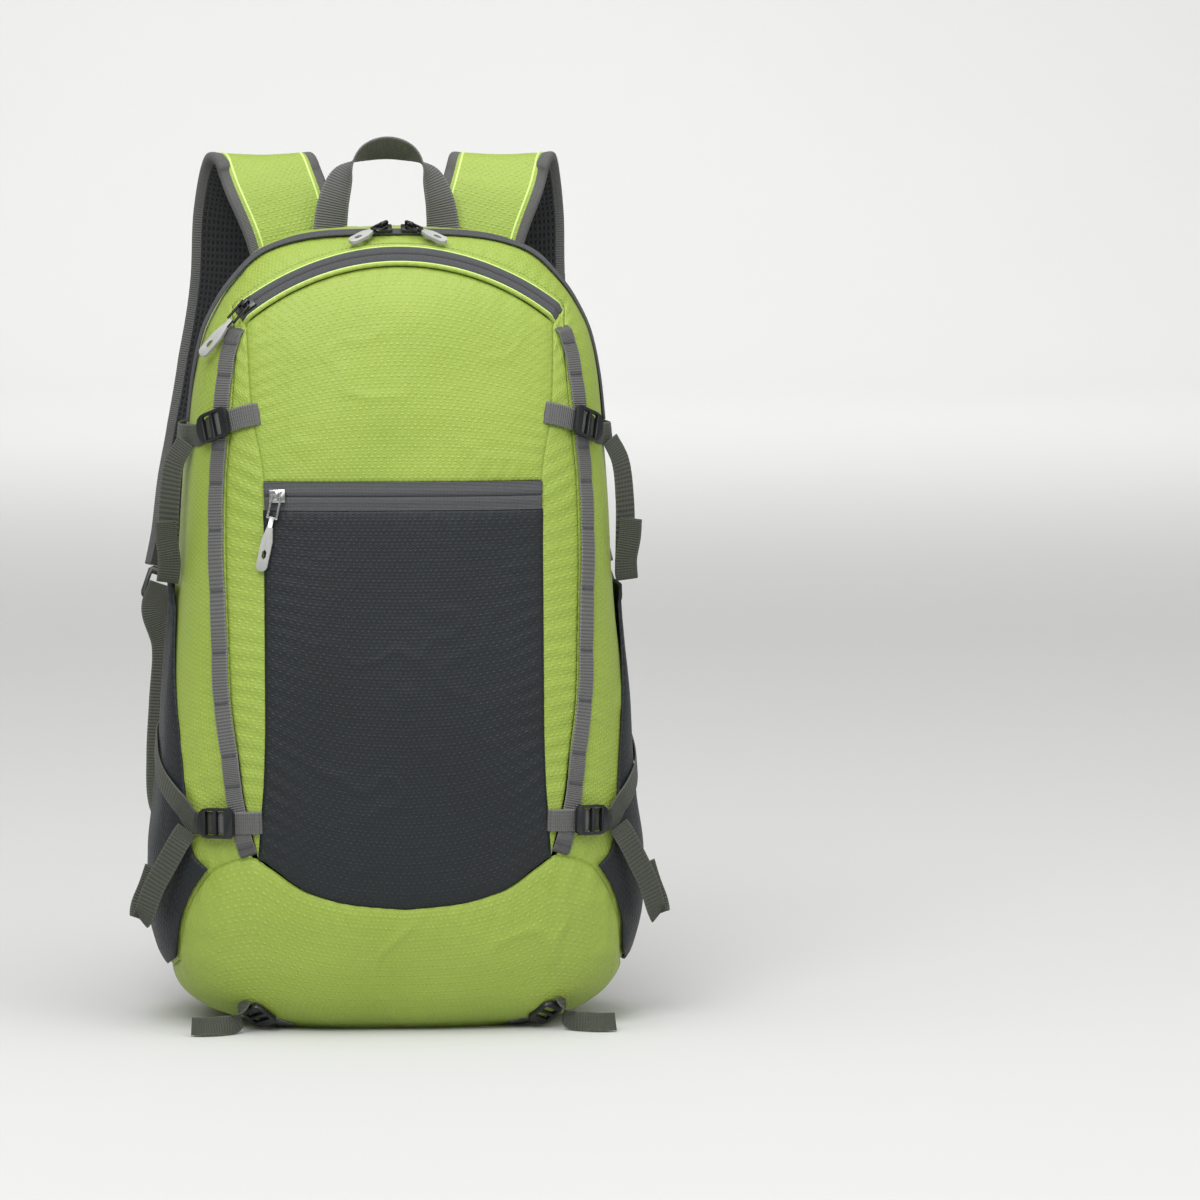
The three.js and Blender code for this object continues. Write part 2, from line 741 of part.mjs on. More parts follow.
// The gusset wraps from the front seam to the back seam; its lower edge follows the base seam
function gusset() {
  const rows = seamSteps.corner + seamSteps.side;
  const turns = seamTurns().slice(seamSteps.front, seamSteps.front + rows + 1);
  const fadeRun = 0.3;
  const across = (u, v) => {
    const front = frontSeamPoint(u);
    const back = backSeamPoint(u, -seamGap / 2);
    const middle = spine((front.z + back.z) / 2);
    const from = front.clone().sub(middle);
    const to = back.clone().sub(middle);
    const angle = from.angleTo(to);
    const ray = from.multiplyScalar(Math.sin((1 - v) * angle)).addScaledVector(to, Math.sin(v * angle));
    return cast(middle, ray);
  };
  const pointAt = (u, v) => {
    const { side, run } = climb(u);
    const at = across(u, v);
    if (run >= fadeRun || v === 0 || v === 1) return at;
    const turn = turns[Math.round(v * rows)];
    const seam = turnPoint(turn, baseSeamUp(turn) + seamGap / 2);
    seam.x *= side;
    const foot = across(side < 0 ? 0 : 1, v);
    const fade = (1 - run / fadeRun) ** 2;
    return project(at.addScaledVector(seam.sub(foot), fade));
  };
  return panel(pointAt, 2 * halfRun, rows, -clothThickness, 0);
}

// The base is a bowl from a flat middle up to the base seam
function base() {
  const half = seamTurns();
  const turns = [...half, ...half.slice(1, -1).reverse().map((turn) => -turn)];
  const flat = sectionAt(0);
  const flatShare = 2 / 7;
  const pointAt = (u, v) => {
    const turn = turns[Math.round(u * turns.length) % turns.length];
    const side = turn < 0 ? -1 : 1;
    const angle = THREE.MathUtils.degToRad(turn);
    const ray = vector(Math.sin(angle), -Math.cos(angle), 0);
    if (v <= flatShare) {
      const depth = ray.y < 0 ? flat.front : flat.back;
      const size = Math.abs(ray.x / flat.out) ** roundness + Math.abs(ray.y / depth) ** roundness;
      return ray.multiplyScalar(0.999 * size ** (-1 / roundness) * v / flatShare);
    }
    const share = (v - flatShare) / (1 - flatShare);
    const rimUp = baseSeamUp(Math.abs(turn)) - seamGap / 2;
    const at = turnPoint(Math.abs(turn), rimUp * share ** 1.6);
    at.x *= side;
    return at;
  };
  return panel(pointAt, turns.length, 7, -clothThickness, 0, true);
}

// Padded back, with an arched top
function backPanel() {
  const archTurn = THREE.MathUtils.degToRad(backArchTurn);
  const foot = baseSeamUp(backMiddleTurn) + seamGap / 2;
  const crown = backArchUp + backArchRadius - seamGap / 2;
  const pointAt = (u, v) => {
    const t = 2 * u - 1;
    const run = v * seamSteps.backRise / halfRun;
    const edge = backSeamPoint(1 - run / 2, seamGap / 2);
    const arch = Math.sqrt(1 - (t * Math.sin(archTurn)) ** 2);
    const swell = (arch - Math.cos(archTurn)) / (1 - Math.cos(archTurn));
    return facePoint(t * edge.x, edge.z + (blend(foot, crown, v) - edge.z) * swell, false);
  };
  const columns = halfRun - seamSteps.backRise;
  return panel(pointAt, columns, seamSteps.backRise / 2, padProud - padThickness, padProud);
}

// Main zip: a raised band over the top of the gusset
function mainZip() {
  const rise = [0.6, 1.6, 0.6];
  const middle = vector(0, mainZipBack, backArchUp);
  const pointAt = (u, v) => {
    const angle = THREE.MathUtils.degToRad(blend(-mainZipHalfAngle, mainZipHalfAngle, v));
    const ray = vector(Math.sin(angle), 0, Math.cos(angle));
    const centre = cast(middle, ray);
    centre.y += (u - 0.5) * mainZipWidth;
    return project(centre);
  };
  const top = (u) => restGap + rise[Math.round(u * (rise.length - 1))];
  return panel(pointAt, rise.length - 1, mainZipSteps, restGap, top);
}

// How far a bottle pocket stands off the gusset at its shares across and up
function pocketOff(u, v) {
  const across = Math.sin(Math.PI * THREE.MathUtils.clamp(u, 0, 1)) ** 0.6;
  return pocketRest + pocketFullness * readTable(pocketSwell, "rise", "off", v) * across;
}

// Bottle pocket: cloth that stands off the gusset, open at the top
function sidePocket() {
  const mouth = pocketMouth * bodyHeight;
  const pointAt = (u, v) => {
    const turn = blend(readTable(pocketEdge, "rise", "turn", v), pocketBackTurn, u);
    const low = baseSeamUp(turn) + pocketHem;
    return turnPoint(turn, blend(low, mouth, v));
  };
  return panel(pointAt, 10, 8, pocketOff, (u, v) => pocketOff(u, v) + clothThickness);
}

// Lift that webbing needs to lie over a bottle pocket
function overPocket(p) {
  const turn = turnOf(p);
  const low = baseSeamUp(turn) + pocketHem;
  const v = THREE.MathUtils.clamp((p.z - low) / (pocketMouth * bodyHeight - low), 0, 1);
  const frontTurn = readTable(pocketEdge, "rise", "turn", v);
  const u = (turn - frontTurn) / (pocketBackTurn - frontTurn);
  const near = THREE.MathUtils.smoothstep(u, -0.2, -0.05) * (1 - THREE.MathUtils.smoothstep(u, 1.15, 1.35));
  return near * (pocketOff(u, v) + clothThickness + 3 * restGap);
}

function daisyWebbing() {
  const points = daisyLine.map((row) => facePoint(row.out * bodyWidth / 2, row.up * bodyHeight));
  return laidWebbing(points, daisyWidth, 26, restGap);
}

// Haul handle: webbing whose outer face looks forward at the feet and back over the top
function haulHandle() {
  const rowAt = (row, side) => {
    const back = Math.sqrt(1 - row.sideways ** 2 - row.down ** 2);
    return {
      at: vector(side * row.out * bodyWidth / 2, row.deep * backDepth, row.up * bodyHeight),
      across: vector(side * row.sideways, back, -row.down),
      width: handleWidth,
    };
  };
  const left = handleRun.map((row) => rowAt(row, -1));
  const right = handleRun.slice(0, -1).reverse().map((row) => rowAt(row, 1));
  return freeBand([...left, ...right], handleThickness, 24);
}

// Place and frame of the shoulder strap's rows
function strapPlace(row) {
  const first = strapRun[0];
  const inner = first.out * bodyWidth / 2 - first.wide * strapWidth / 2;
  const seat = facePoint(inner, first.up * bodyHeight, false);
  const lean = strapLean * first.wide * strapWidth / 2;
  const start = seat.y + padProud + restGap + strapThickness / 2 - lean;
  return vector(row.out * bodyWidth / 2, start + row.behind * strapReach, row.up * bodyHeight);
}

function shoulderStrap() {
  const rows = strapRun.map((row) => ({
    at: strapPlace(row),
    across: vector(1, 0.25 * row.behind - strapLean, 0),
    width: row.wide * strapWidth,
  }));
  return freeBand(rows, strapThickness, 22, 2);
}

function ladderLock(length, width, thickness, slots) {
  const outline = new THREE.Shape();
  const corner = 2.5;
  const nose = 1.28 * (length / 2 - middleBar / 2 - slots.length);
  outline.moveTo(-length / 2 + corner, -width / 2);
  outline.lineTo(length / 2 - nose, -width / 2);
  outline.quadraticCurveTo(length / 2, -width / 2, length / 2, 0);
  outline.quadraticCurveTo(length / 2, width / 2, length / 2 - nose, width / 2);
  outline.lineTo(-length / 2 + corner, width / 2);
  outline.lineTo(-length / 2, width / 2 - corner);
  outline.lineTo(-length / 2, -width / 2 + corner);
  outline.closePath();
  const settings = { depth: thickness, bevelEnabled: false, curveSegments: 4 };
  const frame = new THREE.ExtrudeGeometry(outline, settings);
  const middle = (middleBar + slots.length) / 2;
  const holes = [-1, 1].map((side) => box(slots.length, slots.width, 2 * thickness, side * middle, 0, 0));
  return cutBy(frame, holes);
}

const slotSize = { length: slotLength, width: slotWidth };
const layerOne = restGap;
const layerTwo = layerOne + webbingThickness + restGap;

// The side surface at a depth and height, moved out
function besidePoint(row, half = frontDepth) {
  const y = row.deep * half;
  const z = row.up * bodyHeight;
  const section = sectionAt(z);
  const rest = Math.max(0, 1 - Math.abs(y / (y < 0 ? section.front : section.back)) ** roundness);
  return vector(section.out * rest ** (1 / roundness) + row.off * tailReach, y, z);
}

// Height of webbing that bulges up in one slot of a buckle
function slotBulge(distance) {
  const middle = middleBar / 2 + slotLength / 2;
  const off = Math.abs(Math.abs(distance) - middle) / (slotLength / 2);
  return off < 1 ? slotRise * Math.cos(off * Math.PI / 2) : 0;
}

// One compression strap: anchor from the front, buckle over the daisy webbing, strap to the back seam
function compression(name, places, tail) {
  const anchorAt = facePoint(places.anchor.out * bodyWidth / 2, places.anchor.up * bodyHeight);
  const buckleAt = facePoint(places.buckle.out * bodyWidth / 2, places.buckle.up * bodyHeight);
  const frame = surfaceFrame(buckleAt, buckleAt.clone().sub(anchorAt));
  const lock = ladderLock(buckleLength, buckleWidth, buckleThickness, slotSize);
  const buckleLift = layerTwo + webbingThickness + restGap;
  addPair(`${name}_buckle`, placed(lock, frame, buckleLift), materials.plastic);

  const fromBuckle = (place) => place.clone().sub(buckleAt).dot(frame.along);
  const inner = buckleAt.clone().addScaledVector(frame.along, -restGap);
  const anchorLift = (share, place) => blend(layerOne, layerTwo,
    THREE.MathUtils.smoothstep(share, ...places.anchorRise)) + slotBulge(fromBuckle(place));
  const anchorPoints = [anchorAt, anchorAt.clone().lerp(inner, 0.5), inner];
  addPair(`${name}_anchor`, laidWebbing(anchorPoints, compressionWidth, 8, anchorLift), materials.webbing);

  const outer = buckleAt.clone().addScaledVector(frame.along, restGap);
  const pastBuckle = (share) => buckleAt.clone().addScaledVector(frame.along, share * buckleLength);
  const straight = [0.25, 0.5, 0.66].map(pastBuckle);
  const run = places.run.map((row) => turnPoint(row.turn, row.up * bodyHeight));
  const strapLift = (share, place) => {
    const away = fromBuckle(place);
    if (away < buckleLength / 2) return layerTwo + slotBulge(away);
    const eased = THREE.MathUtils.smoothstep(share, 0.2, 0.4);
    return Math.max(blend(layerTwo, layerOne, eased), overPocket(place));
  };
  const strap = laidWebbing([outer, ...straight, ...run], compressionWidth, 20, strapLift);
  addPair(`${name}_strap`, strap, materials.webbing);
  const rows = tail.map((row, i) => ({
    at: besidePoint(row),
    across: places.tailAcross(i / (tail.length - 1)),
    width: compressionWidth,
  }));
  addPair(`${name}_tail`, freeBand(rows, webbingThickness, 12), materials.webbing);
}

// Adjuster at the lower end of a shoulder strap, and the webbing from it to the back seam
function shoulderAdjuster() {
  const end = strapPlace(strapRun.at(-1));
  const down = end.clone().sub(strapPlace(strapRun.at(-2))).normalize();
  const side = vector(1, 0.12, 0);
  side.addScaledVector(down, -side.dot(down)).normalize();
  const frame = { along: down, across: side, up: down.clone().cross(side).normalize() };
  frame.origin = end.clone().addScaledVector(down, adjusterLength / 2 + restGap);
  const slots = { length: 6, width: adjusterWebbing + 1 };
  const lock = ladderLock(adjusterLength, adjusterWebbing + 7, adjusterThickness, slots);
  addPair("shoulder_buckle", placed(lock, frame, -adjusterThickness / 2), materials.plastic);

  const before = frame.up.y < 0 ? 1 : -1;
  const lift = before * (adjusterThickness / 2 + restGap + webbingThickness / 2);
  const top = frame.origin.clone().addScaledVector(frame.up, lift).addScaledVector(down, -2);
  const leave = top.clone().addScaledVector(down, adjusterLength / 2 + 4);
  const seat = turnPoint(adjusterSeat.turn, adjusterSeat.up * bodyHeight);
  const out = normalAt(seat);
  seat.addScaledVector(out, padProud + restGap + webbingThickness / 2);
  const rows = [
    { at: top, across: side },
    { at: leave, across: side },
    ...adjusterRun.map((row) => ({ at: strapPlace(row), across: side })),
    { at: seat, across: vector(-out.y, out.x, 0).multiplyScalar(-1) },
  ].map((row) => ({ ...row, width: adjusterWebbing }));
  addPair("shoulder_webbing", freeBand(rows, webbingThickness, 16), materials.webbing);
}

// Gear strap under the front of the base: a lock on the flare and a tail on the floor
function gearStrap() {
  const at = turnPoint(gearPlace.turn, gearPlace.up * bodyHeight);
  const frame = surfaceFrame(at, vector(at.x, at.y, bodyHeight * 0.1));
  const lock = ladderLock(buckleLength * 0.8, buckleWidth * 0.9, buckleThickness, { length: 4, width: 12.5 });
  addPair("bottom_buckle", placed(lock, frame, layerOne + webbingThickness + restGap), materials.plastic);
  const under = turnPoint(gearPlace.turn - 2, gearPlace.under * bodyHeight);
  const past = at.clone().addScaledVector(frame.along, 9);
  const strap = laidWebbing([under, at, past], compressionWidth * 0.86, 8, layerOne);
  addPair("bottom_strap", strap, materials.webbing);
  const nose = at.clone().addScaledVector(frame.along, 13).addScaledVector(frame.up, 1);
  const rows = bottomTail.map((row, index) => ({
    at: index === 0 ? nose : vector(nose.x + row.out, nose.y - row.ahead, row.up),
    across: index === 0 ? frame.across : vector(0, row.lean, 1),
    width: compressionWidth * 0.86,
  }));
  addPair("bottom_tail", freeBand(rows, webbingThickness, 10), materials.webbing);
}

// Slider on a zip, with its bridge turned towards the pull
function sliderShape(zipTurn) {
  const body = box(sliderLength, sliderWidth, sliderThickness, 0, 0, sliderThickness / 2).rotateZ(zipTurn);
  const legOut = tunnelLength / 2 + bridgeBar / 2;
  const top = sliderThickness + tunnelHeight;
  const legs = [-1, 1].map((side) => box(bridgeBar, bridgeWidth, top + bridgeBar - 0.2, side * legOut, 0,
    (top + bridgeBar + 0.2) / 2));
  const bar = box(tunnelLength + 2 * bridgeBar, bridgeWidth, bridgeBar, 0, 0, top + bridgeBar / 2);
  return joined(body, ...legs, bar);
}

// Pull in its own frame: the hinge on the origin, the tip along +X
function pullShape(size) {
  const { bail: bailLength, neck: neckLength, tip: tipLength } = size;
  const bailWidth = bailInner + 2 * bailBar;
  const ends = [0, bailLength - bailBar].map((x) => box(bailBar, bailWidth, bailBar, x, 0, 0));
  const sides = [-1, 1].map((side) => box(bailLength, bailBar, bailBar, (bailLength - bailBar) / 2,
    side * (bailInner + bailBar) / 2, 0));
  const neckStart = bailLength - bailBar;
  const neck = box(neckLength + 1, tipWidth * 0.4, tipThickness * 0.8, neckStart + neckLength / 2, 0, 0);
  const outline = new THREE.Shape();
  const end = neckStart + neckLength;
  const half = tipWidth / 2;
  outline.moveTo(end, -half * 0.5);
  outline.lineTo(end + tipLength * 0.3, -half);
  outline.lineTo(end + tipLength - half, -half);
  outline.absarc(end + tipLength - half, 0, half, -Math.PI / 2, Math.PI / 2, false);
  outline.lineTo(end + tipLength * 0.3, half);
  outline.lineTo(end, half * 0.5);
  outline.closePath();
  const hole = new THREE.Path();
  hole.absellipse(end + tipLength * 0.62, 0, tipHole * 2, tipHole, 0, Math.PI * 2, true);
  outline.holes.push(hole);
  const settings = { depth: tipThickness, bevelEnabled: false, curveSegments: 3 };
  const tip = new THREE.ExtrudeGeometry(outline, settings).translate(0, 0, -tipThickness / 2);
  return joined(...ends, ...sides, neck, tip);
}

// A slider and its pull, which hangs from the bridge towards a place over the cloth
function zipPull(name, place, zipDirection, endPlace, endLift, seatLift, size) {
  const origin = project(place);
  const up = normalAt(origin);
  const hingeLift = seatLift + restGap + sliderThickness + tunnelHeight / 2;
  const hinge = origin.clone().addScaledVector(up, hingeLift);
  const along = endPlace.clone().addScaledVector(normalAt(project(endPlace)), endLift).sub(hinge).normalize();
  const across = up.clone().cross(along).normalize();
  const pullUp = along.clone().cross(across).normalize();
  const flatAlong = across.clone().cross(up).normalize();
  const zipTurn = Math.atan2(zipDirection.dot(across), zipDirection.dot(flatAlong));
  const frame = { origin, up, along: flatAlong, across };
  add(`${name}_slider`, placed(sliderShape(zipTurn), frame, seatLift + restGap), materials.metal);
  const pull = new THREE.Mesh(pullShape(size), materials.tip);
  pull.name = `${name}_pull`;
  const joint = new THREE.Group();
  joint.name = `${name}_hinge`;
  joint.position.copy(hinge);
  joint.quaternion.setFromRotationMatrix(new THREE.Matrix4().makeBasis(along, across, pullUp));
  joint.add(pull);
  bag.add(joint);
}

add("front_panel", frontPanel(), materials.lime);
add("front_pocket", frontPocket(), materials.slate);
add("pocket_zip", pocketZip(), materials.webbing);
addPair("side_front", sideFront(), materials.lime);
add("front_zip", frontZip(), materials.webbing);
add("gusset", gusset(), materials.lime);
add("base", base(), materials.lime);
add("back_panel", backPanel(), materials.mesh);
add("main_zip", mainZip(), materials.webbing);
addPair("side_pocket", sidePocket(), materials.slate);
addPair("daisy_webbing", daisyWebbing(), materials.webbing);
add("haul_handle", haulHandle(), materials.webbing);
addPair("shoulder_strap", shoulderStrap(), materials.lime);

const upperPlaces = {
  anchor: { out: 0.587, up: 0.776 },
  buckle: { out: 0.76, up: 0.758 },
  anchorRise: [0.05, 0.35],
  run: [
    { turn: 76, up: 0.744 },
    { turn: 95, up: 0.74 },
    { turn: 114, up: 0.74 },
  ],
  tailAcross: (t) => vector(0.35, 1 - 1.5 * t, 0.1),
};
compression("upper", upperPlaces, upperTail);

const lowerPlaces = {
  anchor: { out: 0.593, up: 0.27 },
  buckle: { out: 0.767, up: 0.268 },
  anchorRise: [-1, -0.5],
  run: [
    { turn: 66, up: 0.29 },
    { turn: 85, up: 0.335 },
    { turn: 112, up: 0.37 },
  ],
  tailAcross: () => vector(0.55, 0.15, 0.62),
};
compression("lower", lowerPlaces, lowerTail);

shoulderAdjuster();
gearStrap();

const pocketZipUp = pocketTop - pocketZipHeight / 2;
zipPull("pocket", facePoint(-0.52 * bodyWidth / 2, pocketZipUp), vector(1, 0, 0),
  facePoint(-0.593 * bodyWidth / 2, 0.576 * bodyHeight), 2.4, 1.2, pullSizes.pocket);

const frontSliderAt = archPoint(-archHalfAngle + 3, archRadius + zipWidth / 2);
const frontZipAlong = frontSliderAt.clone().sub(archPoint(-archHalfAngle, archRadius + zipWidth / 2));
zipPull("front", frontSliderAt, frontZipAlong, facePoint(-0.783 * bodyWidth / 2, 0.838 * bodyHeight), 10, 1.2,
  pullSizes.front);

for (const [name, side] of [["main_left", -1], ["main_right", 1]]) {
  const at = vector(side * 8, mainZipBack, bodyHeight);
  const end = vector(side * 30, mainZipBack - 15, bodyHeight);
  zipPull(name, at, vector(1, 0, 0), project(end), 5, restGap + 1.6, pullSizes.main);
}

export default bag;
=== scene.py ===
"""Looks of a packable backpack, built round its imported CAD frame.

Sizes are in millimetres in the code and in metres in the meshes: +Z is up and the front faces -Y.
"""

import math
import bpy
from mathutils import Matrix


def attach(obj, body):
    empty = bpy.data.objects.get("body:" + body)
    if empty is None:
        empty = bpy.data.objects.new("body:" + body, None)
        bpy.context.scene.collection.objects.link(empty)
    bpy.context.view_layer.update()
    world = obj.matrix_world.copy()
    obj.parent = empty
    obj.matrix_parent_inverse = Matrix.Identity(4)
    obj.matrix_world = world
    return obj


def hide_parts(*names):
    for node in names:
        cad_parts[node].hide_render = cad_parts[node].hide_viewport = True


bl_info = {
    "name": "Packable Backpack",
    "version": (1, 0, 0),
    "blender": (4, 5, 0),
    "location": "3D View > Sidebar > Backpack",
    "description": "Builds the cloth, webbing, zips and buckles of a light backpack",
    "category": "Object",
}

import bmesh
import bpy
import numpy as np
from bpy.props import FloatProperty, FloatVectorProperty, PointerProperty
from mathutils import Vector, noise

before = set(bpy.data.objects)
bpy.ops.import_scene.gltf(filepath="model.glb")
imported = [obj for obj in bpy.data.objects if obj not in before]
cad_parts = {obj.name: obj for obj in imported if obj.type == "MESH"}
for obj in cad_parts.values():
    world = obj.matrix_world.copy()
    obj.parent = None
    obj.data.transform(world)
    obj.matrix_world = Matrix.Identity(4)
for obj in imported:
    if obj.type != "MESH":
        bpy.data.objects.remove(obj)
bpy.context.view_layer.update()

MM = 0.001

# Stuffed body, as the frame has it
HEIGHT = 500
WIDTH = 300
FRONT_DEPTH = 98
BACK_DEPTH = 82
ROUNDNESS = 3
SEAM_GAP = 0.5
SEAM_LAP = 0.8
REST_GAP = 0.4
PAD_PROUD = 2.5
WEBBING = 1.2

# Front arch, pocket and zips
ARCH_RADIUS = 150
ZIP_WIDTH = 13
ARCH_HALF = 40
ARCH_CENTRE = 328
POCKET_TOP = 346
POCKET_ZIP = 18
MAIN_ZIP_WIDTH = 7
MAIN_ZIP_BACK = -15
MAIN_ZIP_HALF = 69

# Back seam and straps
BACK_SHARE = 0.86
BACK_ARCH = 150
BACK_ARCH_UP = 330
BACK_ARCH_TURN = 47
BACK_FLARE = 0.25
STRAP_WIDTH = 64
STRAP_THICKNESS = 8.5
STRAP_REACH = 72
STRAP_LEAN = 0.1
ADJUSTER_WEBBING = 19
ADJUSTER_LENGTH = 24
ADJUSTER_THICKNESS = 3.4
COMPRESSION_WIDTH = 14
DAISY_WIDTH = 11.5
BUCKLE_LENGTH = 25
SLOT_LENGTH = 5.6
MIDDLE_BAR = 2
SLOT_RISE = 1.6
TAIL_REACH = 14

# Sections of the body: height, half width, front and back depth, as shares of the sizes above
SECTIONS = np.array([
    (0, 0.6, 0.6, 0.86), (0.022, 0.81, 0.76, 0.93), (0.054, 0.92, 0.86, 0.965), (0.1, 0.98, 0.935, 0.99),
    (0.16, 1, 0.98, 1), (0.25, 0.995, 1, 1), (0.4, 0.962, 0.985, 1), (0.53, 0.925, 0.935, 1),
    (0.66, 0.897, 0.86, 0.99), (0.76, 0.868, 0.775, 0.97), (0.812, 0.85, 0.71, 0.95),
    (0.868, 0.813, 0.63, 0.93), (0.912, 0.747, 0.54, 0.91), (0.948, 0.66, 0.43, 0.88),
    (0.97, 0.587, 0.34, 0.85), (0.982, 0.507, 0.27, 0.82), (0.995, 0.367, 0.15, 0.76), (1, 0.1, 0.07, 0.68),
])

# Seams and the daisy webbing: height and distance from the middle, as shares
PRINCESS_SEAM = np.array([
    (0.2255, 0.603), (0.28, 0.59), (0.32, 0.58), (0.4, 0.573), (0.6, 0.573), (0.692, 0.58),
    (0.784, 0.627), (0.886, 0.643),
])
GUSSET_SEAM = np.array([
    (0.2255, 0.613), (0.245, 0.629), (0.302, 0.67), (0.346, 0.687), (0.428, 0.72), (0.52, 0.73),
    (0.606, 0.737), (0.682, 0.733), (0.734, 0.72), (0.814, 0.698), (0.86, 0.69), (0.906, 0.699),
])
DAISY_LINE = np.array([
    (0.228, 0.645), (0.245, 0.663), (0.302, 0.703), (0.346, 0.72), (0.426, 0.753), (0.504, 0.76),
    (0.606, 0.77), (0.682, 0.765), (0.734, 0.753), (0.788, 0.74), (0.848, 0.711), (0.88, 0.677),
])

# Base seam: turn from the front middle in degrees, and height
BASE_SEAM = np.array([
    (0, 0.162), (19, 0.168), (34, 0.184), (43, 0.212), (47, 0.224), (56, 0.21), (62, 0.178),
    (67, 0.134), (72, 0.084), (90, 0.066), (180, 0.066),
])
CORNER_TURN = 47
TUCK_TURN = 72
FRONT_SIDE_SHARE = 20 / 28
BACK_SIDE_SHARE = 18 / 28
FLAT_SHARE = 2 / 7

# Bottle pocket: its front edge (rise, turn) and how far it stands off the side (rise, share)
POCKET_EDGE = np.array([(0, 58), (0.14, 62.5), (0.36, 65), (0.6, 69), (0.87, 77), (1, 81)])
POCKET_BACK = 108
POCKET_MOUTH = 0.55
POCKET_FULLNESS = 4.5
POCKET_REST = 0.95
POCKET_HEM = 3
POCKET_SWELL = np.array([(0, 0), (0.14, 0.85), (0.3, 1), (0.44, 0.3), (0.56, 0.05), (0.74, 0.35), (1, 0.2)])

# Shoulder strap: out, up, behind and width; adjuster webbing: out, up and behind
STRAP_RUN = [
    (0.36, 0.932, 0, 0.88), (0.41, 1.0, 0.1, 0.95), (0.473, 1.052, 0.26, 1), (0.51, 1.078, 0.46, 1.01),
    (0.55, 1.07, 0.68, 1.01), (0.59, 1.01, 0.87, 1), (0.607, 0.91, 0.97, 1), (0.667, 0.81, 1.02, 0.97),
    (0.74, 0.722, 1, 0.87), (0.807, 0.66, 0.94, 0.74), (0.867, 0.59, 0.87, 0.6), (0.92, 0.545, 0.81, 0.5),
]
ADJUSTER_RUN = [(0.937, 0.45, 0.64), (0.95, 0.38, 0.54), (0.965, 0.31, 0.38), (0.96, 0.25, 0.16)]
ADJUSTER_SEAT = (114, 0.2)

# Haul handle from a foot to the top: out, up, deep, and how its width runs sideways and down
HANDLE_RUN = [
    (0.245, 0.964, 0.862, 1, 0), (0.24, 1.0, 0.865, 0.96, 0), (0.222, 1.036, 0.85, 0.85, 0.1),
    (0.176, 1.07, 0.85, 0.62, 0.4), (0.095, 1.091, 0.85, 0.28, 0.6), (0, 1.098, 0.85, 0, 0.66),
]

# Loose tails: depth, height, distance off the side
UPPER_TAIL = [
    (-0.335, 0.737, 0.4), (-0.31, 0.71, 0.72), (-0.28, 0.66, 0.75),
    (-0.25, 0.6, 0.62), (-0.25, 0.568, 0.56), (-0.29, 0.56, 0.62),
    (-0.34, 0.585, 0.66), (-0.38, 0.615, 0.95), (-0.4, 0.638, 1.1),
]
LOWER_TAIL = [
    (-0.76, 0.258, 0.85), (-0.765, 0.248, 1.15), (-0.71, 0.216, 1.3),
    (-0.64, 0.18, 1.5), (-0.58, 0.148, 1.62), (-0.53, 0.14, 1.6),
    (-0.5, 0.156, 1.4), (-0.53, 0.182, 1.15), (-0.56, 0.205, 1.0),
]
BOTTOM_TAIL = [(6, 5, 7.2, 0.1), (16, 10, 6.6, 0.5), (26, 12, 6.4, 0.6), (34, 11, 6.4, 0.6)]
GEAR_PLACE = (54, 0.026, 0.006)
UPPER_PLACES = {
    "anchor": (0.587, 0.776), "buckle": (0.76, 0.758), "rise": (0.05, 0.35),
    "run": [(76, 0.744), (95, 0.74), (114, 0.74)],
}
LOWER_PLACES = {
    "anchor": (0.593, 0.27), "buckle": (0.767, 0.268), "rise": (-1, -0.5),
    "run": [(66, 0.29), (85, 0.335), (112, 0.37)],
}

# Zip pulls: hinge place and the way to the tip, and how far the wire bail reaches
PULL_HINGES = {
    "pocket": ((-79.17, -82.24, 337.7), (-0.2085, -0.0079, -0.978)),
    "front": ((-96.39, -44.9, 455.3), (-0.649, 0.0479, -0.7593)),
    "main_left": ((-7.87, -17.05, 502.8), (-0.7711, -0.5306, -0.3518)),
    "main_right": ((7.87, -17.05, 502.8), (0.7711, -0.5306, -0.3518)),
}
PULL_BAILS = {"pocket": 19.0, "front": 16.0, "main_left": 9.5, "main_right": 9.5}

# Camera: turned and raised about the bag, in degrees, how far off it stands, what its picture spans,
# how far the picture is shifted, the point that it looks at in metres, and its sensor's width
CAMERA_TURN = -4.2
CAMERA_RISE = 5.5
CAMERA_AWAY = 4000
FRAME_WIDTH = 743
FRAME_SHIFT = (0.162, 0.009)
CAMERA_AIM = (0, -0.095, 0.267)
SENSOR_WIDTH = 36

# Backdrop in mm: where its floor starts, how far it runs, the radius of the curve behind, its width
# and its whole run with the wall
FLOOR_FRONT = -3200
FLOOR_DEPTH = 9600
FLOOR_CURVE = 1500
FLOOR_WIDTH = 16000
FLOOR_RUN = 15000
# Strength of the room, then the soft sun from above: its strength, and its spread and tilt in degrees
ROOM_LIGHT = 0.24
SKY_LIGHT = 1.7
SKY_SPREAD = 100
SKY_TILT = 20
# Studio lamps: name, place and aim in metres, width in metres, watts
AREA_LIGHTS = [
    ("key", (-0.9, -2.2, 2.6), (0, 0, 0.3), 1.8, 50),
    ("fill", (1.8, -1.8, 1.3), (0, 0, 0.3), 1.6, 9),
    ("top", (0.1, -0.3, 2.6), (0, 0, 0.3), 1.6, 22),
    ("wall", (0.6, 5.0, 3.6), (0.6, 8.0, 1.4), 3, 110),
]

# Bound edge of the shoulder straps
BINDING_WIDTH = 9.5
BINDING_THICKNESS = 6.4

# Edges of a moulded or cast piece that turn by more than this many degrees are rounded
HARD_EDGE = 30
# How often the search for the body's face halves its step
HALVINGS = 26
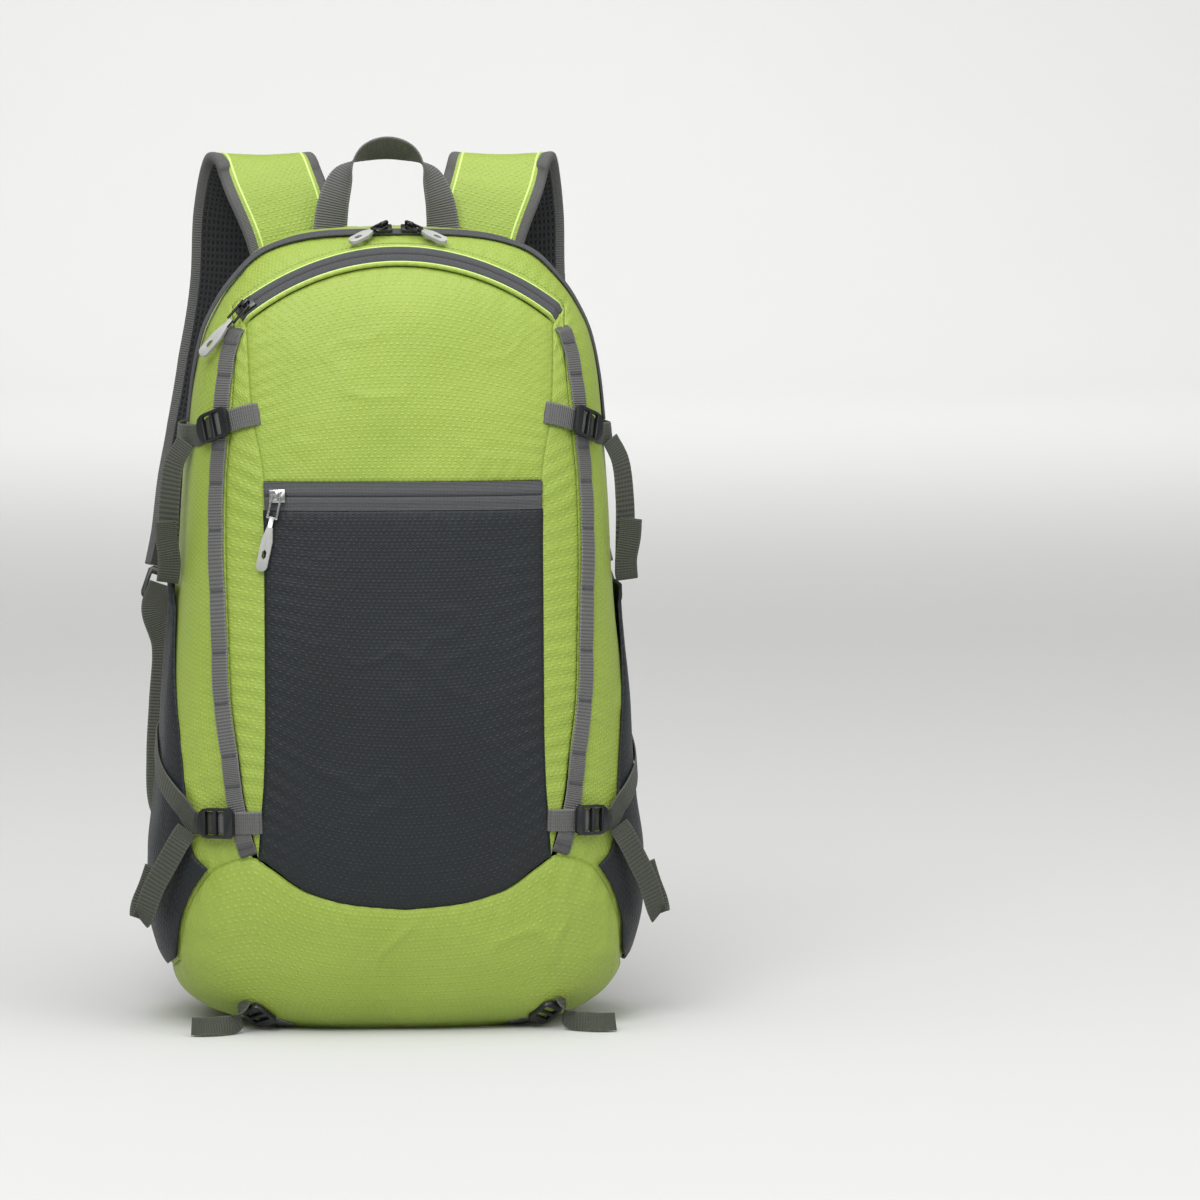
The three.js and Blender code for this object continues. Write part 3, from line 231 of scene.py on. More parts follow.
# A wave texture of this scale has one band to each mm of the cloth's own map
WAVE_SCALE = 0.314


def mix(a, b, share):
    return a + (b - a) * share


def ramp(value, low, high):
    """Smooth step from 0 at low to 1 at high."""
    t = np.clip((np.asarray(value, float) - low) / (high - low), 0, 1)
    return t * t * (3 - 2 * t)


def read(rows, column, at):
    """Smooth value of a table's column that never overshoots its rows."""
    x, y = rows[:, 0], rows[:, column]
    steps = np.diff(y) / np.diff(x)
    product = steps[:-1] * steps[1:]
    total = np.where(product > 0, steps[:-1] + steps[1:], 1)
    slopes = np.concatenate([steps[:1], np.where(product > 0, 2 * product / total, 0), steps[-1:]])
    at = np.clip(np.asarray(at, float), x[0], x[-1])
    i = np.clip(np.searchsorted(x, at, side="left") - 1, 0, len(x) - 2)
    span = x[i + 1] - x[i]
    t = (at - x[i]) / span
    a, b, f, g = y[i], y[i + 1], slopes[i] * span, slopes[i + 1] * span
    return a + t * (f + t * (3 * (b - a) - 2 * f - g + t * (2 * (a - b) + f + g)))


def points(x, y, z):
    """Points from three numbers or arrays."""
    return np.stack(np.broadcast_arrays(*[np.asarray(v, float) for v in (x, y, z)]), axis=-1)


def unit(v):
    return v / np.maximum(np.linalg.norm(v, axis=-1, keepdims=True), 1e-9)


def dot(a, b):
    return np.sum(a * b, axis=-1, keepdims=True)


def section(z):
    up = np.clip(z / HEIGHT, 0, 1)
    return (read(SECTIONS, 1, up) * WIDTH / 2, read(SECTIONS, 2, up) * FRONT_DEPTH,
            read(SECTIONS, 3, up) * BACK_DEPTH)


def field(p):
    """Below 0 inside the body, 0 on its surface."""
    out, front, back = section(p[..., 2])
    depth = np.where(p[..., 1] < 0, front, back)
    return np.abs(p[..., 0] / out) ** ROUNDNESS + np.abs(p[..., 1] / depth) ** ROUNDNESS - 1


def cast(start, ray):
    """Where rays from inside leave the body."""
    ray = unit(ray)
    start = np.broadcast_to(start, ray.shape)
    plane = np.where(ray[..., 2] < 0, 0.0, float(HEIGHT))
    steep = np.abs(ray[..., 2]) > 1e-9
    far = np.where(steep, (plane - start[..., 2]) / np.where(steep, ray[..., 2], 1), 1e9)
    far = np.minimum(far, HEIGHT + WIDTH)
    end = start + ray * far[..., None]
    flat = (np.abs(end[..., 2] - plane) < 1e-6) & (field(end) <= 0)
    near = np.zeros_like(far)
    high = far.copy()
    for _ in range(HALVINGS):
        middle = (near + high) / 2
        inside = field(start + ray * middle[..., None]) < 0
        near = np.where(inside, middle, near)
        high = np.where(inside, high, middle)
    return np.where(flat[..., None], end, start + ray * near[..., None])


def spine(z):
    return points(0, 0, np.clip(z, 0.24 * HEIGHT, 0.72 * HEIGHT))


def project(p):
    start = spine(p[..., 2])
    return cast(start, p - start)


def normal_at(p):
    step = 0.02
    at = p.copy()
    at[..., 2] = np.minimum(at[..., 2], HEIGHT - step)
    slopes = []
    for axis in range(3):
        move = np.zeros(3)
        move[axis] = step
        slopes.append(field(at + move) - field(at - move))
    n = unit(np.stack(slopes, axis=-1))
    return np.where((p[..., 2] < 1e-6)[..., None], np.array([0.0, 0, -1]), n)


def face_point(x, z, front=True):
    """The surface straight before or behind a place in the front view."""
    x, z = np.broadcast_arrays(np.asarray(x, float), np.asarray(z, float))
    out, fore, back = section(z)
    rest = np.maximum(0, 1 - np.abs(x / out) ** ROUNDNESS) ** (1 / ROUNDNESS)
    return points(np.clip(x, -out, out), -fore * rest if front else back * rest, z)


def turn_point(turn, z):
    """The surface at a height, turned from the front middle towards +X."""
    angle = np.radians(np.asarray(turn, float))
    ray = points(np.sin(angle), -np.cos(angle), 0 * angle)
    z = np.broadcast_to(np.asarray(z, float), ray.shape[:-1])
    return cast(points(0, 0, z), ray)


def turn_of(p):
    return np.degrees(np.abs(np.arctan2(p[..., 0], -p[..., 1])))


def base_up(turn):
    return read(BASE_SEAM, 1, np.abs(turn)) * HEIGHT


def seam_out(rows, z):
    return read(rows, 1, z / HEIGHT) * WIDTH / 2


def arch_point(angle, radius):
    turn = np.radians(angle)
    return face_point(radius * np.sin(turn), ARCH_CENTRE + radius * np.cos(turn))


def curve(knots, share):
    """Points at shares of a centripetal curve through knots."""
    knots = np.asarray(knots, float)
    whole = np.vstack([2 * knots[0] - knots[1], knots, 2 * knots[-1] - knots[-2]])
    spot = np.clip(np.asarray(share, float), 0, 1) * (len(knots) - 1)
    i = np.clip(np.floor(spot).astype(int), 0, len(knots) - 2)
    t = (spot - i)[:, None]
    p = [whole[i + k] for k in range(4)]
    d = [np.maximum(np.sum((p[k + 1] - p[k]) ** 2, axis=1) ** 0.25, 1e-4)[:, None] for k in range(3)]
    enter = ((p[1] - p[0]) / d[0] - (p[2] - p[0]) / (d[0] + d[1]) + (p[2] - p[1]) / d[1]) * d[1]
    leave = ((p[2] - p[1]) / d[1] - (p[3] - p[1]) / (d[1] + d[2]) + (p[3] - p[2]) / d[2]) * d[1]
    a = 2 * p[1] - 2 * p[2] + enter + leave
    b = -3 * p[1] + 3 * p[2] - 2 * enter - leave
    return a * t ** 3 + b * t ** 2 + enter * t + p[1]


def tangents(line):
    return unit(np.gradient(line, axis=0))


def lengths(line):
    """Distance run along a line at each of its points."""
    return np.concatenate([[0], np.cumsum(np.linalg.norm(np.diff(line, axis=0), axis=1))])


def ripple(p, size, seed=0.0):
    """Soft noise between -1 and 1 with folds of about size, in millimetres."""
    flat = p.reshape(-1, 3) / size + seed
    return np.array([noise.noise(Vector(q)) for q in flat]).reshape(p.shape[:-1])


def linear(code):
    """Linear RGBA of an sRGB hex colour."""
    parts = [int(code[i:i + 2], 16) / 255 for i in (0, 2, 4)]
    return tuple(c / 12.92 if c <= 0.04045 else ((c + 0.055) / 1.055) ** 2.4 for c in parts) + (1.0,)


def add_node(tree, kind, inputs=None, **settings):
    """One node with its settings; inputs maps a socket to a value or to another node's socket."""
    made = tree.nodes.new(kind)
    for key, value in settings.items():
        setattr(made, key, value)
    for key, value in (inputs or {}).items():
        if isinstance(value, bpy.types.NodeSocket):
            tree.links.new(value, made.inputs[key])
        else:
            made.inputs[key].default_value = value
    return made


def mix_colours(tree, share, a, b):
    """Colour socket that runs from a to b as share, a value or a socket, runs from 0 to 1."""
    made = tree.nodes.new("ShaderNodeMix")
    made.data_type = "RGBA"
    for place, value in ((0, share), (6, a), (7, b)):
        if isinstance(value, bpy.types.NodeSocket):
            tree.links.new(value, made.inputs[place])
        else:
            made.inputs[place].default_value = value
    return made.outputs[2]


def start_material(name):
    """An empty material and its node tree."""
    material = bpy.data.materials.new(name)
    material.use_nodes = True
    material.node_tree.nodes.clear()
    return material, material.node_tree


def end_material(tree, surface):
    out = add_node(tree, "ShaderNodeOutputMaterial")
    tree.links.new(surface.outputs["BSDF"], out.inputs["Surface"])


def ripstop_nylon(name, face, shade, roughness, sheen, cell=3.4):
    """Coated ripstop nylon, woven: a honeycomb dobby of about 3.4 mm that catches small glints.

    The real cell is nearer 2 mm and is drawn coarser so that it shows.
    """
    material, tree = start_material(name)
    uv = add_node(tree, "ShaderNodeUVMap", uv_map="cloth").outputs["UV"]
    waves = []
    for angle, period in ((0, 0.62 * cell), (58, cell), (-58, cell)):
        turn = (0, 0, math.radians(angle + 90))
        turned = add_node(tree, "ShaderNodeMapping", {"Vector": uv, "Rotation": turn})
        waves.append(add_node(tree, "ShaderNodeTexWave", {
            "Vector": turned.outputs["Vector"], "Scale": WAVE_SCALE / period, "Distortion": 0.6,
            "Detail": 1.0, "Detail Scale": 0.6,
        }).outputs["Fac"])
    pair = add_node(tree, "ShaderNodeMath", {0: waves[1], 1: waves[2]}, operation="MULTIPLY")
    comb = add_node(tree, "ShaderNodeMath", {0: pair.outputs[0], 1: waves[0], 2: 0.35},
                    operation="MULTIPLY_ADD")
    place = add_node(tree, "ShaderNodeTexCoord").outputs["Object"]
    crush = add_node(tree, "ShaderNodeTexNoise", {
        "Vector": place, "Scale": 90.0, "Detail": 3.0, "Distortion": 0.8,
    })
    worn = add_node(tree, "ShaderNodeTexNoise", {"Vector": place, "Scale": 14.0, "Detail": 2.0})
    tone = add_node(tree, "ShaderNodeMath", {0: comb.outputs[0], 1: 0.55}, operation="MULTIPLY")
    shift = add_node(tree, "ShaderNodeMath", {0: worn.outputs["Fac"], 1: 0.45, 2: tone.outputs[0]},
                     operation="MULTIPLY_ADD")
    colour = mix_colours(tree, shift.outputs[0], shade, face)
    height = add_node(tree, "ShaderNodeMath", {0: crush.outputs["Fac"], 1: 1.5, 2: comb.outputs[0]},
                      operation="MULTIPLY_ADD")
    bump = add_node(tree, "ShaderNodeBump", {
        "Height": height.outputs[0], "Strength": 0.8, "Distance": 0.0005,
    })
    shader = add_node(tree, "ShaderNodeBsdfPrincipled", {
        "Base Color": colour, "Roughness": roughness, "IOR": 1.45,
        "Sheen Weight": sheen, "Sheen Roughness": 0.4, "Normal": bump.outputs["Normal"],
    })
    end_material(tree, shader)
    return material


def nylon_webbing(name, face, edge, rib=1.5):
    """Woven nylon webbing: ribs across of about 1.5 mm, lengthwise cords and a paler selvedge."""
    material, tree = start_material(name)
    uv = add_node(tree, "ShaderNodeUVMap", uv_map="cloth").outputs["UV"]
    bands = []
    for angle, period in ((90, rib), (0, 2.2)):
        turn = (0, 0, math.radians(angle))
        turned = add_node(tree, "ShaderNodeMapping", {"Vector": uv, "Rotation": turn})
        bands.append(add_node(tree, "ShaderNodeTexWave", {
            "Vector": turned.outputs["Vector"], "Scale": WAVE_SCALE / period, "Distortion": 0.3,
        }).outputs["Fac"])
    weave = add_node(tree, "ShaderNodeMath", {0: bands[1], 1: 0.25, 2: bands[0]},
                     operation="MULTIPLY_ADD")
    rim = add_node(tree, "ShaderNodeAttribute", attribute_name="rim")
    selvedge = add_node(tree, "ShaderNodeMapRange", {
        "Value": rim.outputs["Fac"], "From Min": 0.8, "From Max": 0.96, "To Min": 0.0, "To Max": 0.55,
    })
    dark = mix_colours(tree, 0.35, face, (face[0] * 0.55, face[1] * 0.55, face[2] * 0.55, 1.0))
    woven = add_node(tree, "ShaderNodeMath", {0: weave.outputs[0], 1: 0.8}, operation="MULTIPLY")
    ground = mix_colours(tree, woven.outputs[0], dark, face)
    colour = mix_colours(tree, selvedge.outputs["Result"], ground, edge)
    bump = add_node(tree, "ShaderNodeBump", {
        "Height": weave.outputs[0], "Strength": 0.9, "Distance": 0.0005,
    })
    shader = add_node(tree, "ShaderNodeBsdfPrincipled", {
        "Base Color": colour, "Roughness": 0.72, "IOR": 1.45, "Sheen Weight": 0.05,
        "Sheen Roughness": 0.5, "Normal": bump.outputs["Normal"],
    })
    end_material(tree, shader)
    return material


def spacer_mesh(name, thread, hole_shade, cell=3.0):
    """Knitted spacer mesh: small holes in a matt knit, darkened with painted shade, cells about 3 mm."""
    material, tree = start_material(name)
    uv = add_node(tree, "ShaderNodeUVMap", uv_map="cloth").outputs["UV"]
    cells = add_node(tree, "ShaderNodeTexVoronoi", {"Vector": uv, "Scale": 1 / cell, "Randomness": 0.12},
                     feature="DISTANCE_TO_EDGE")
    open_share = add_node(tree, "ShaderNodeMapRange", {
        "Value": cells.outputs["Distance"], "From Min": 0.12, "From Max": 0.3,
    })
    # The holes take the near-black painted shade, the threads the knit's own dark gray.
    colour = mix_colours(tree, open_share.outputs["Result"], thread, hole_shade)
    height = add_node(tree, "ShaderNodeMath", {0: 1.0, 1: open_share.outputs["Result"]},
                      operation="SUBTRACT")
    bump = add_node(tree, "ShaderNodeBump", {
        "Height": height.outputs[0], "Strength": 0.8, "Distance": 0.0008,
    })
    shader = add_node(tree, "ShaderNodeBsdfPrincipled", {
        "Base Color": colour, "Roughness": 0.85, "IOR": 1.45, "Sheen Weight": 0.2,
        "Sheen Roughness": 0.5, "Normal": bump.outputs["Normal"],
    })
    end_material(tree, shader)
    return material


def moulded_plastic(name, face, roughness, grain=0.7):
    """Moulded plastic: a fine spark grain of about 0.7 mm, a little polished where hands rub it."""
    material, tree = start_material(name)
    place = add_node(tree, "ShaderNodeTexCoord").outputs["Object"]
    spark = add_node(tree, "ShaderNodeTexNoise", {
        "Vector": place, "Scale": 1 / (grain * MM), "Detail": 2.0,
    })
    rubbed = add_node(tree, "ShaderNodeTexNoise", {"Vector": place, "Scale": 60.0, "Detail": 1.0})
    shine = add_node(tree, "ShaderNodeMapRange", {
        "Value": rubbed.outputs["Fac"], "From Min": 0.3, "From Max": 0.7,
        "To Min": roughness - 0.08, "To Max": roughness + 0.08,
    })
    pale = tuple(min(1, c * 1.35) for c in face[:3]) + (1.0,)
    colour = mix_colours(tree, rubbed.outputs["Fac"], face, pale)
    bump = add_node(tree, "ShaderNodeBump", {
        "Height": spark.outputs["Fac"], "Strength": 0.25, "Distance": 0.0001,
    })
    shader = add_node(tree, "ShaderNodeBsdfPrincipled", {
        "Base Color": colour, "Roughness": shine.outputs["Result"], "IOR": 1.48,
        "Normal": bump.outputs["Normal"],
    })
    end_material(tree, shader)
    return material


def plated_zinc(name, face, roughness):
    """Die-cast zinc, plated and tumbled: soft reflections with faint handling marks."""
    material, tree = start_material(name)
    place = add_node(tree, "ShaderNodeTexCoord").outputs["Object"]
    marks = add_node(tree, "ShaderNodeTexNoise", {"Vector": place, "Scale": 400.0, "Detail": 3.0})
    shine = add_node(tree, "ShaderNodeMapRange", {
        "Value": marks.outputs["Fac"], "From Min": 0.3, "From Max": 0.7,
        "To Min": roughness - 0.06, "To Max": roughness + 0.1,
    })
    shader = add_node(tree, "ShaderNodeBsdfPrincipled", {
        "Base Color": face, "Metallic": 1.0, "Roughness": shine.outputs["Result"],
    })
    end_material(tree, shader)
    return material


def studio_paper(name, face):
    """Matt backdrop paper."""
    material, tree = start_material(name)
    place = add_node(tree, "ShaderNodeTexCoord").outputs["Object"]
    cloud = add_node(tree, "ShaderNodeTexNoise", {"Vector": place, "Scale": 1.5, "Detail": 1.0})
    shade = tuple(c * 0.98 for c in face[:3]) + (1.0,)
    colour = mix_colours(tree, cloud.outputs["Fac"], shade, face)
    shader = add_node(tree, "ShaderNodeBsdfPrincipled", {
        "Base Color": colour, "Roughness": 0.9, "Specular IOR Level": 0.1,
    })
    end_material(tree, shader)
    return material


def finish_named(name):
    """The finish of that name, made at its first use from the colours in the sidebar."""
    if name in bpy.data.materials:
        return bpy.data.materials[name]
    cloth = bpy.context.scene.backpack_cloth
    trim = bpy.context.scene.backpack_trim
    recipes = {
        "lime_ripstop": lambda n: ripstop_nylon(
            n, tuple(cloth.lime), tuple(cloth.lime_shade), 0.52, 0.04),
        "slate_ripstop": lambda n: ripstop_nylon(
            n, tuple(cloth.slate), tuple(cloth.slate_shade), 0.58, 0.03),
        "gray_webbing": lambda n: nylon_webbing(n, tuple(trim.webbing), tuple(trim.webbing_edge)),
        "binding_tape": lambda n: nylon_webbing(n, tuple(trim.webbing), tuple(trim.webbing), 1.1),
        # Piping: the real lime piping cord, its paler tone a painted highlight along the edges.
        "lime_piping": lambda n: moulded_plastic(n, tuple(cloth.piping), 0.5),
        "olive_webbing": lambda n: nylon_webbing(n, tuple(trim.tail), tuple(trim.tail_edge), 1.8),
        "zip_tape": lambda n: nylon_webbing(n, tuple(trim.tape), tuple(trim.coil), 0.9),
        # Spacer mesh: dark gray knit threads, near-black painted shade in the holes.
        "black_spacer_mesh": lambda n: spacer_mesh(n, linear("26282A"), linear("0A0B0B")),
        "black_acetal": lambda n: moulded_plastic(n, tuple(trim.buckle), 0.34),
        "gray_soft_plastic": lambda n: moulded_plastic(n, tuple(trim.pull), 0.42),
        "bright_zinc": lambda n: plated_zinc(n, linear("D9DAD8"), 0.2),
        "dark_zinc": lambda n: plated_zinc(n, linear("4A4B4C"), 0.3),
        "gray_thread": lambda n: nylon_webbing(n, linear("55565A"), linear("6B6C70"), 0.8),
    }
    return recipes[name](name)


def lay_grid(columns, rows, place, size, around=False, capped=False, extra=None):
    """A grid of quads laid through place(u, v), with cloth coordinates in millimetres."""
    mesh = bmesh.new()
    layer = mesh.loops.layers.uv.new("cloth")
    rim = mesh.verts.layers.float.new("rim")
    bmesh.ops.create_grid(mesh, x_segments=columns, y_segments=rows, size=0.5)
    mesh.verts.index_update()
    share = np.array([(v.co.x + 0.5, v.co.y + 0.5) for v in mesh.verts])
    spots = place(share[:, 0], share[:, 1])
    edge = extra(share[:, 0], share[:, 1]) if extra else np.zeros(len(share))
    cloth = size(share[:, 0], share[:, 1]) if callable(size) else share * np.array(size)
    for face in mesh.faces:
        for loop in face.loops:
            loop[layer].uv = cloth[loop.vert.index]
    for v, spot, value in zip(mesh.verts, spots, edge):
        v.co = Vector(spot) * MM
        v[rim] = value
    if around:
        bmesh.ops.remove_doubles(mesh, verts=mesh.verts, dist=0.02 * MM)
    if capped:
        bmesh.ops.holes_fill(mesh, edges=[e for e in mesh.edges if e.is_boundary])
        bmesh.ops.recalc_face_normals(mesh, faces=mesh.faces)
    return mesh


def face_outwards(mesh):
    """Turns an open panel so that its faces look away from the body's spine."""
    total = 0.0
    for face in mesh.faces:
        centre = face.calc_center_median()
        core = Vector((0, 0, min(max(centre.z, 0.12), 0.36)))
        total += face.normal.dot(centre - core)
    if total < 0:
        bmesh.ops.reverse_faces(mesh, faces=mesh.faces)


def set_down(name, mesh, finishes, nodes=(), slot=None, body="bag", wall=0.0, sharp=None):
    """Makes the mesh an object of the model: finish, body, and the frame nodes it stands for."""
    mesh.normal_update()
    data = bpy.data.meshes.new(name)
    for face in mesh.faces:
        face.smooth = True
    if sharp is not None:
        for edge in mesh.edges:
            if len(edge.link_faces) == 2 and edge.calc_face_angle(0) > math.radians(sharp):
                edge.smooth = False
    mesh.to_mesh(data)
    mesh.free()
    piece = bpy.data.objects.new(name, data)
    bpy.context.scene.collection.objects.link(piece)
    for finish in [finishes] if isinstance(finishes, str) else finishes:
        data.materials.append(finish_named(finish))
    if wall:
        thick = piece.modifiers.new("cloth wall", "SOLIDIFY")
        thick.thickness = wall * MM
        thick.offset = -1
    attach(piece, body)
    if nodes:
        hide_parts(*nodes)
    return piece


def mirrored_mesh(mesh):
    """A copy of the mesh on the other side of the bag, right side out."""
    other = mesh.copy()
    bmesh.ops.scale(other, vec=(-1, 1, 1), verts=other.verts)
    bmesh.ops.reverse_faces(other, faces=other.faces)
    return other


def set_pair(name, mesh, finishes, nodes=(), **more):
    """The same piece on the right and, mirrored, on the left."""
    other = mirrored_mesh(mesh)
    pieces = []
    for side, made in (("right", mesh), ("left", other)):
        named = [f"{node}_{side}" for node in nodes]
        pieces.append(set_down(f"{name}_{side}", made, finishes, named, **more))
    return pieces


def sweep(line, across, width, thickness, columns=16, squareness=5.0):
    """Webbing or padding: a flat rounded section carried along a line of points."""
    count = len(line)
    ahead = tangents(line)
    side = unit(across - ahead * dot(across, ahead))
    face = unit(np.cross(side, ahead))
    width = np.broadcast_to(np.asarray(width, float), (count,))
    thickness = np.broadcast_to(np.asarray(thickness, float), (count,))
    power = 2 / squareness

    def place(u, v):
        row = np.rint(v * (count - 1)).astype(int)
        angle = 2 * np.pi * u
        s = np.sign(np.cos(angle)) * np.abs(np.cos(angle)) ** power
        f = np.sign(np.sin(angle)) * np.abs(np.sin(angle)) ** power
        spots = line[row] + side[row] * (s * width[row] / 2)[:, None]
        spots = spots + face[row] * (f * thickness[row] / 2)[:, None]
        return spots

    def edge(u, v):
        return np.abs(np.cos(2 * np.pi * u)) ** power

    def cloth(u, v):
        angle = 2 * np.pi * u
        s = np.sign(np.cos(angle)) * np.abs(np.cos(angle)) ** power
        return np.stack([s * width.max() / 2, v * lengths(line)[-1]], axis=1)

    return lay_grid(columns, count - 1, place, cloth, around=True, capped=True, extra=edge)


def lay_cloth(columns, rows, shape, size, lift, lap=0.0, **more):
    """A panel of cloth laid through shape(u, v) and lifted off it along the body's normals.

    Lap is how far its edges run on under the next panel.
    """
    def place(u, v):
        grow = 1 + 2 * lap / np.array(size)
        spots = shape((u - 0.5) * grow[0] + 0.5, (v - 0.5) * grow[1] + 0.5)
        return spots + normal_at(spots) * lift(spots, u, v)[:, None]

    mesh = lay_grid(columns, rows, place, size, **more)
    face_outwards(mesh)
    return mesh


# Width and height in mm of each panel when it is laid flat, which space its gathers and its weave
PANEL_SIZES = {
    "upper_front": (185, 130),
    "pocket_panel": (180, 250),
    "side_strip": (20, 340),
    "side_gusset": (1240, 160),
    "bag_base": (820, 150),
    "padded_back": (250, 440),
    "pocket_zip_band": (172, 18),
    "front_zip_band": (13, 215),
    "main_zip_band": (7, 400),
    "bottle_pocket": (130, 230),
}
# In mm: how far the gathers reach in from a seam, and their spacing along a panel's sides, along its
# ends and along the elastic hem of the bottle pockets
GATHER_REACH = 10
SIDE_GATHER = 11.5
END_GATHER = 12.5
HEM_GATHER = 7.5
# A whole number of gathers lies round the base, so that they meet at the back; its wall's height in mm
BASE_GATHERS = 66
BASE_WALL = 110


def sewn(size, depth=1.5, pucker=0.45, fold=1.2, crease=0.5, seed=0.0, grain=(1, 1, 1)):
    """Lift of sewn cloth: sunk at its seams, gathered beside them, and softly folded between."""
    width, rise = size

    def lift(spots, u, v):
        to_side = np.minimum(u, 1 - u) * width
        to_end = np.minimum(v, 1 - v) * rise
        edge = np.minimum(to_side, to_end)
        drift = 4 * ripple(spots, 40, seed)
        strength = np.clip(0.7 + ripple(spots, 50, seed + 3), 0, 1.4)
        beside = np.exp(-to_side / GATHER_REACH) * np.sin(2 * np.pi * v * rise / SIDE_GATHER + drift)
        below = np.exp(-to_end / GATHER_REACH) * np.sin(2 * np.pi * u * width / END_GATHER + drift)
        middle = 1 - np.exp(-edge / 15)
        folds = ripple(spots * np.array(grain), 55, seed + 9)
        line = ripple(spots * np.array(grain), 70, seed + 17) + 0.25 * ripple(spots, 20, seed + 21)
        creases = np.exp(-(line / 0.05) ** 2) * np.clip(ripple(spots, 60, seed + 25) + 0.4, 0, 1)
        height = fold * folds * middle + crease * creases * middle
        gathers = pucker * strength * (beside + below) * (1 - np.exp(-edge / 4))
        return height + gathers - depth * np.exp(-edge / 2.2)

    return lift


def front_panel_shape(u, v):
    half = math.radians(ARCH_HALF)
    t = 2 * u - 1
    swell = (np.sqrt(1 - (t * math.sin(half)) ** 2) - math.cos(half)) / (1 - math.cos(half))
    low = POCKET_TOP + SEAM_GAP / 2
    edge_up = mix(low, ARCH_CENTRE + ARCH_RADIUS * math.cos(half) - SEAM_GAP / 2, v)
    edge_out = seam_out(PRINCESS_SEAM, edge_up) - SEAM_GAP / 2
    crown = ARCH_CENTRE + ARCH_RADIUS - SEAM_GAP / 2
    return face_point(t * edge_out, edge_up + (mix(low, crown, v) - edge_up) * swell)


def front_pocket_shape(u, v):
    top = POCKET_TOP - POCKET_ZIP - SEAM_GAP / 2
    corner = turn_point(CORNER_TURN, base_up(CORNER_TURN))
    turn = CORNER_TURN * np.abs(2 * u - 1)
    low = base_up(turn) + SEAM_GAP / 2
    share = np.sign(u - 0.5) * turn_point(turn, low)[:, 0] / corner[0]
    edge_up = mix(corner[2], top, v)
    return face_point(share * (seam_out(PRINCESS_SEAM, edge_up) - SEAM_GAP / 2), mix(low, top, v))


def pocket_zip_shape(u, v):
    z = mix(POCKET_TOP - POCKET_ZIP + SEAM_GAP / 2, POCKET_TOP - SEAM_GAP / 2, v)
    return face_point((2 * u - 1) * (seam_out(PRINCESS_SEAM, z) - SEAM_GAP / 2), z)


def side_front_shape(u, v):
    low, inner_top, outer_top = (rows * HEIGHT for rows in (
        PRINCESS_SEAM[0, 0], PRINCESS_SEAM[-1, 0], GUSSET_SEAM[-1, 0]))
    inner = mix(low, inner_top - 2 * SEAM_GAP, v)
    outer = mix(low, outer_top - 2 * SEAM_GAP, v)
    from_out = seam_out(PRINCESS_SEAM, inner) + SEAM_GAP / 2
    to_out = seam_out(GUSSET_SEAM, outer) - SEAM_GAP / 2
    return face_point(mix(from_out, to_out, u), mix(inner, outer, u))


def front_zip_shape(u, v):
    angle = mix(-ARCH_HALF, ARCH_HALF, v)
    return arch_point(angle, mix(ARCH_RADIUS + SEAM_GAP / 2, ARCH_RADIUS + ZIP_WIDTH - SEAM_GAP / 2, u))


def front_seam(share):
    side = np.where(share < 0.5, -1, 1)
    run = 1 - np.abs(2 * share - 1)
    z = mix(GUSSET_SEAM[0, 0], GUSSET_SEAM[-1, 0], run / FRONT_SIDE_SHARE) * HEIGHT
    low = face_point(side * (seam_out(GUSSET_SEAM, z) + SEAM_GAP / 2), z)
    angle = ARCH_HALF * (1 - run) / (1 - FRONT_SIDE_SHARE)
    high = arch_point(side * angle, ARCH_RADIUS + ZIP_WIDTH + SEAM_GAP / 2)
    return np.where((run <= FRONT_SIDE_SHARE)[:, None], low, high)


def back_seam(share, inset):
    side = np.where(share < 0.5, -1, 1)
    run = 1 - np.abs(2 * share - 1)
    turn = math.radians(BACK_ARCH_TURN)
    radius = BACK_ARCH - inset
    out, up = radius * math.sin(turn), BACK_ARCH_UP + radius * math.cos(turn)
    z = mix(base_up(180) + SEAM_GAP / 2, up, run / BACK_SIDE_SHARE)
    reach = np.minimum(section(z)[0] * BACK_SHARE - inset, out + (up - z) * BACK_FLARE)
    low = face_point(side * reach, z, False)
    angle = turn * (1 - run) / (1 - BACK_SIDE_SHARE)
    high = face_point(side * radius * np.sin(angle), BACK_ARCH_UP + radius * np.cos(angle), False)
    return np.where((run <= BACK_SIDE_SHARE)[:, None], low, high)


def gusset_shape(u, v):
    """From the front seams over the side to the back seam; its foot follows the base seam."""
    def across(share, depth):
        front, back = front_seam(share), back_seam(share, -SEAM_GAP / 2)
        middle = spine((front[:, 2] + back[:, 2]) / 2)
        start, end = front - middle, back - middle
        angle = np.arccos(np.clip(dot(unit(start), unit(end)), -1, 1))
        near, far = np.sin((1 - depth[:, None]) * angle), np.sin(depth[:, None] * angle)
        return cast(middle, near * start + far * end)

    side = np.where(u < 0.5, -1, 1)
    run = 1 - np.abs(2 * u - 1)
    at = across(u, v)
    back_turn = turn_of(back_seam(np.ones(1), -SEAM_GAP / 2))[0]
    turn = np.interp(v, [0, 0.625, 1], [CORNER_TURN, TUCK_TURN, back_turn])
    seam = turn_point(turn, base_up(turn) + SEAM_GAP / 2)
    seam[:, 0] *= side
    foot = across(np.where(u < 0.5, 0.0, 1.0), v)
    fade = np.clip(1 - run / 0.3, 0, 1) ** 2
    return np.where(fade[:, None] > 0, project(at + (seam - foot) * fade[:, None]), at)


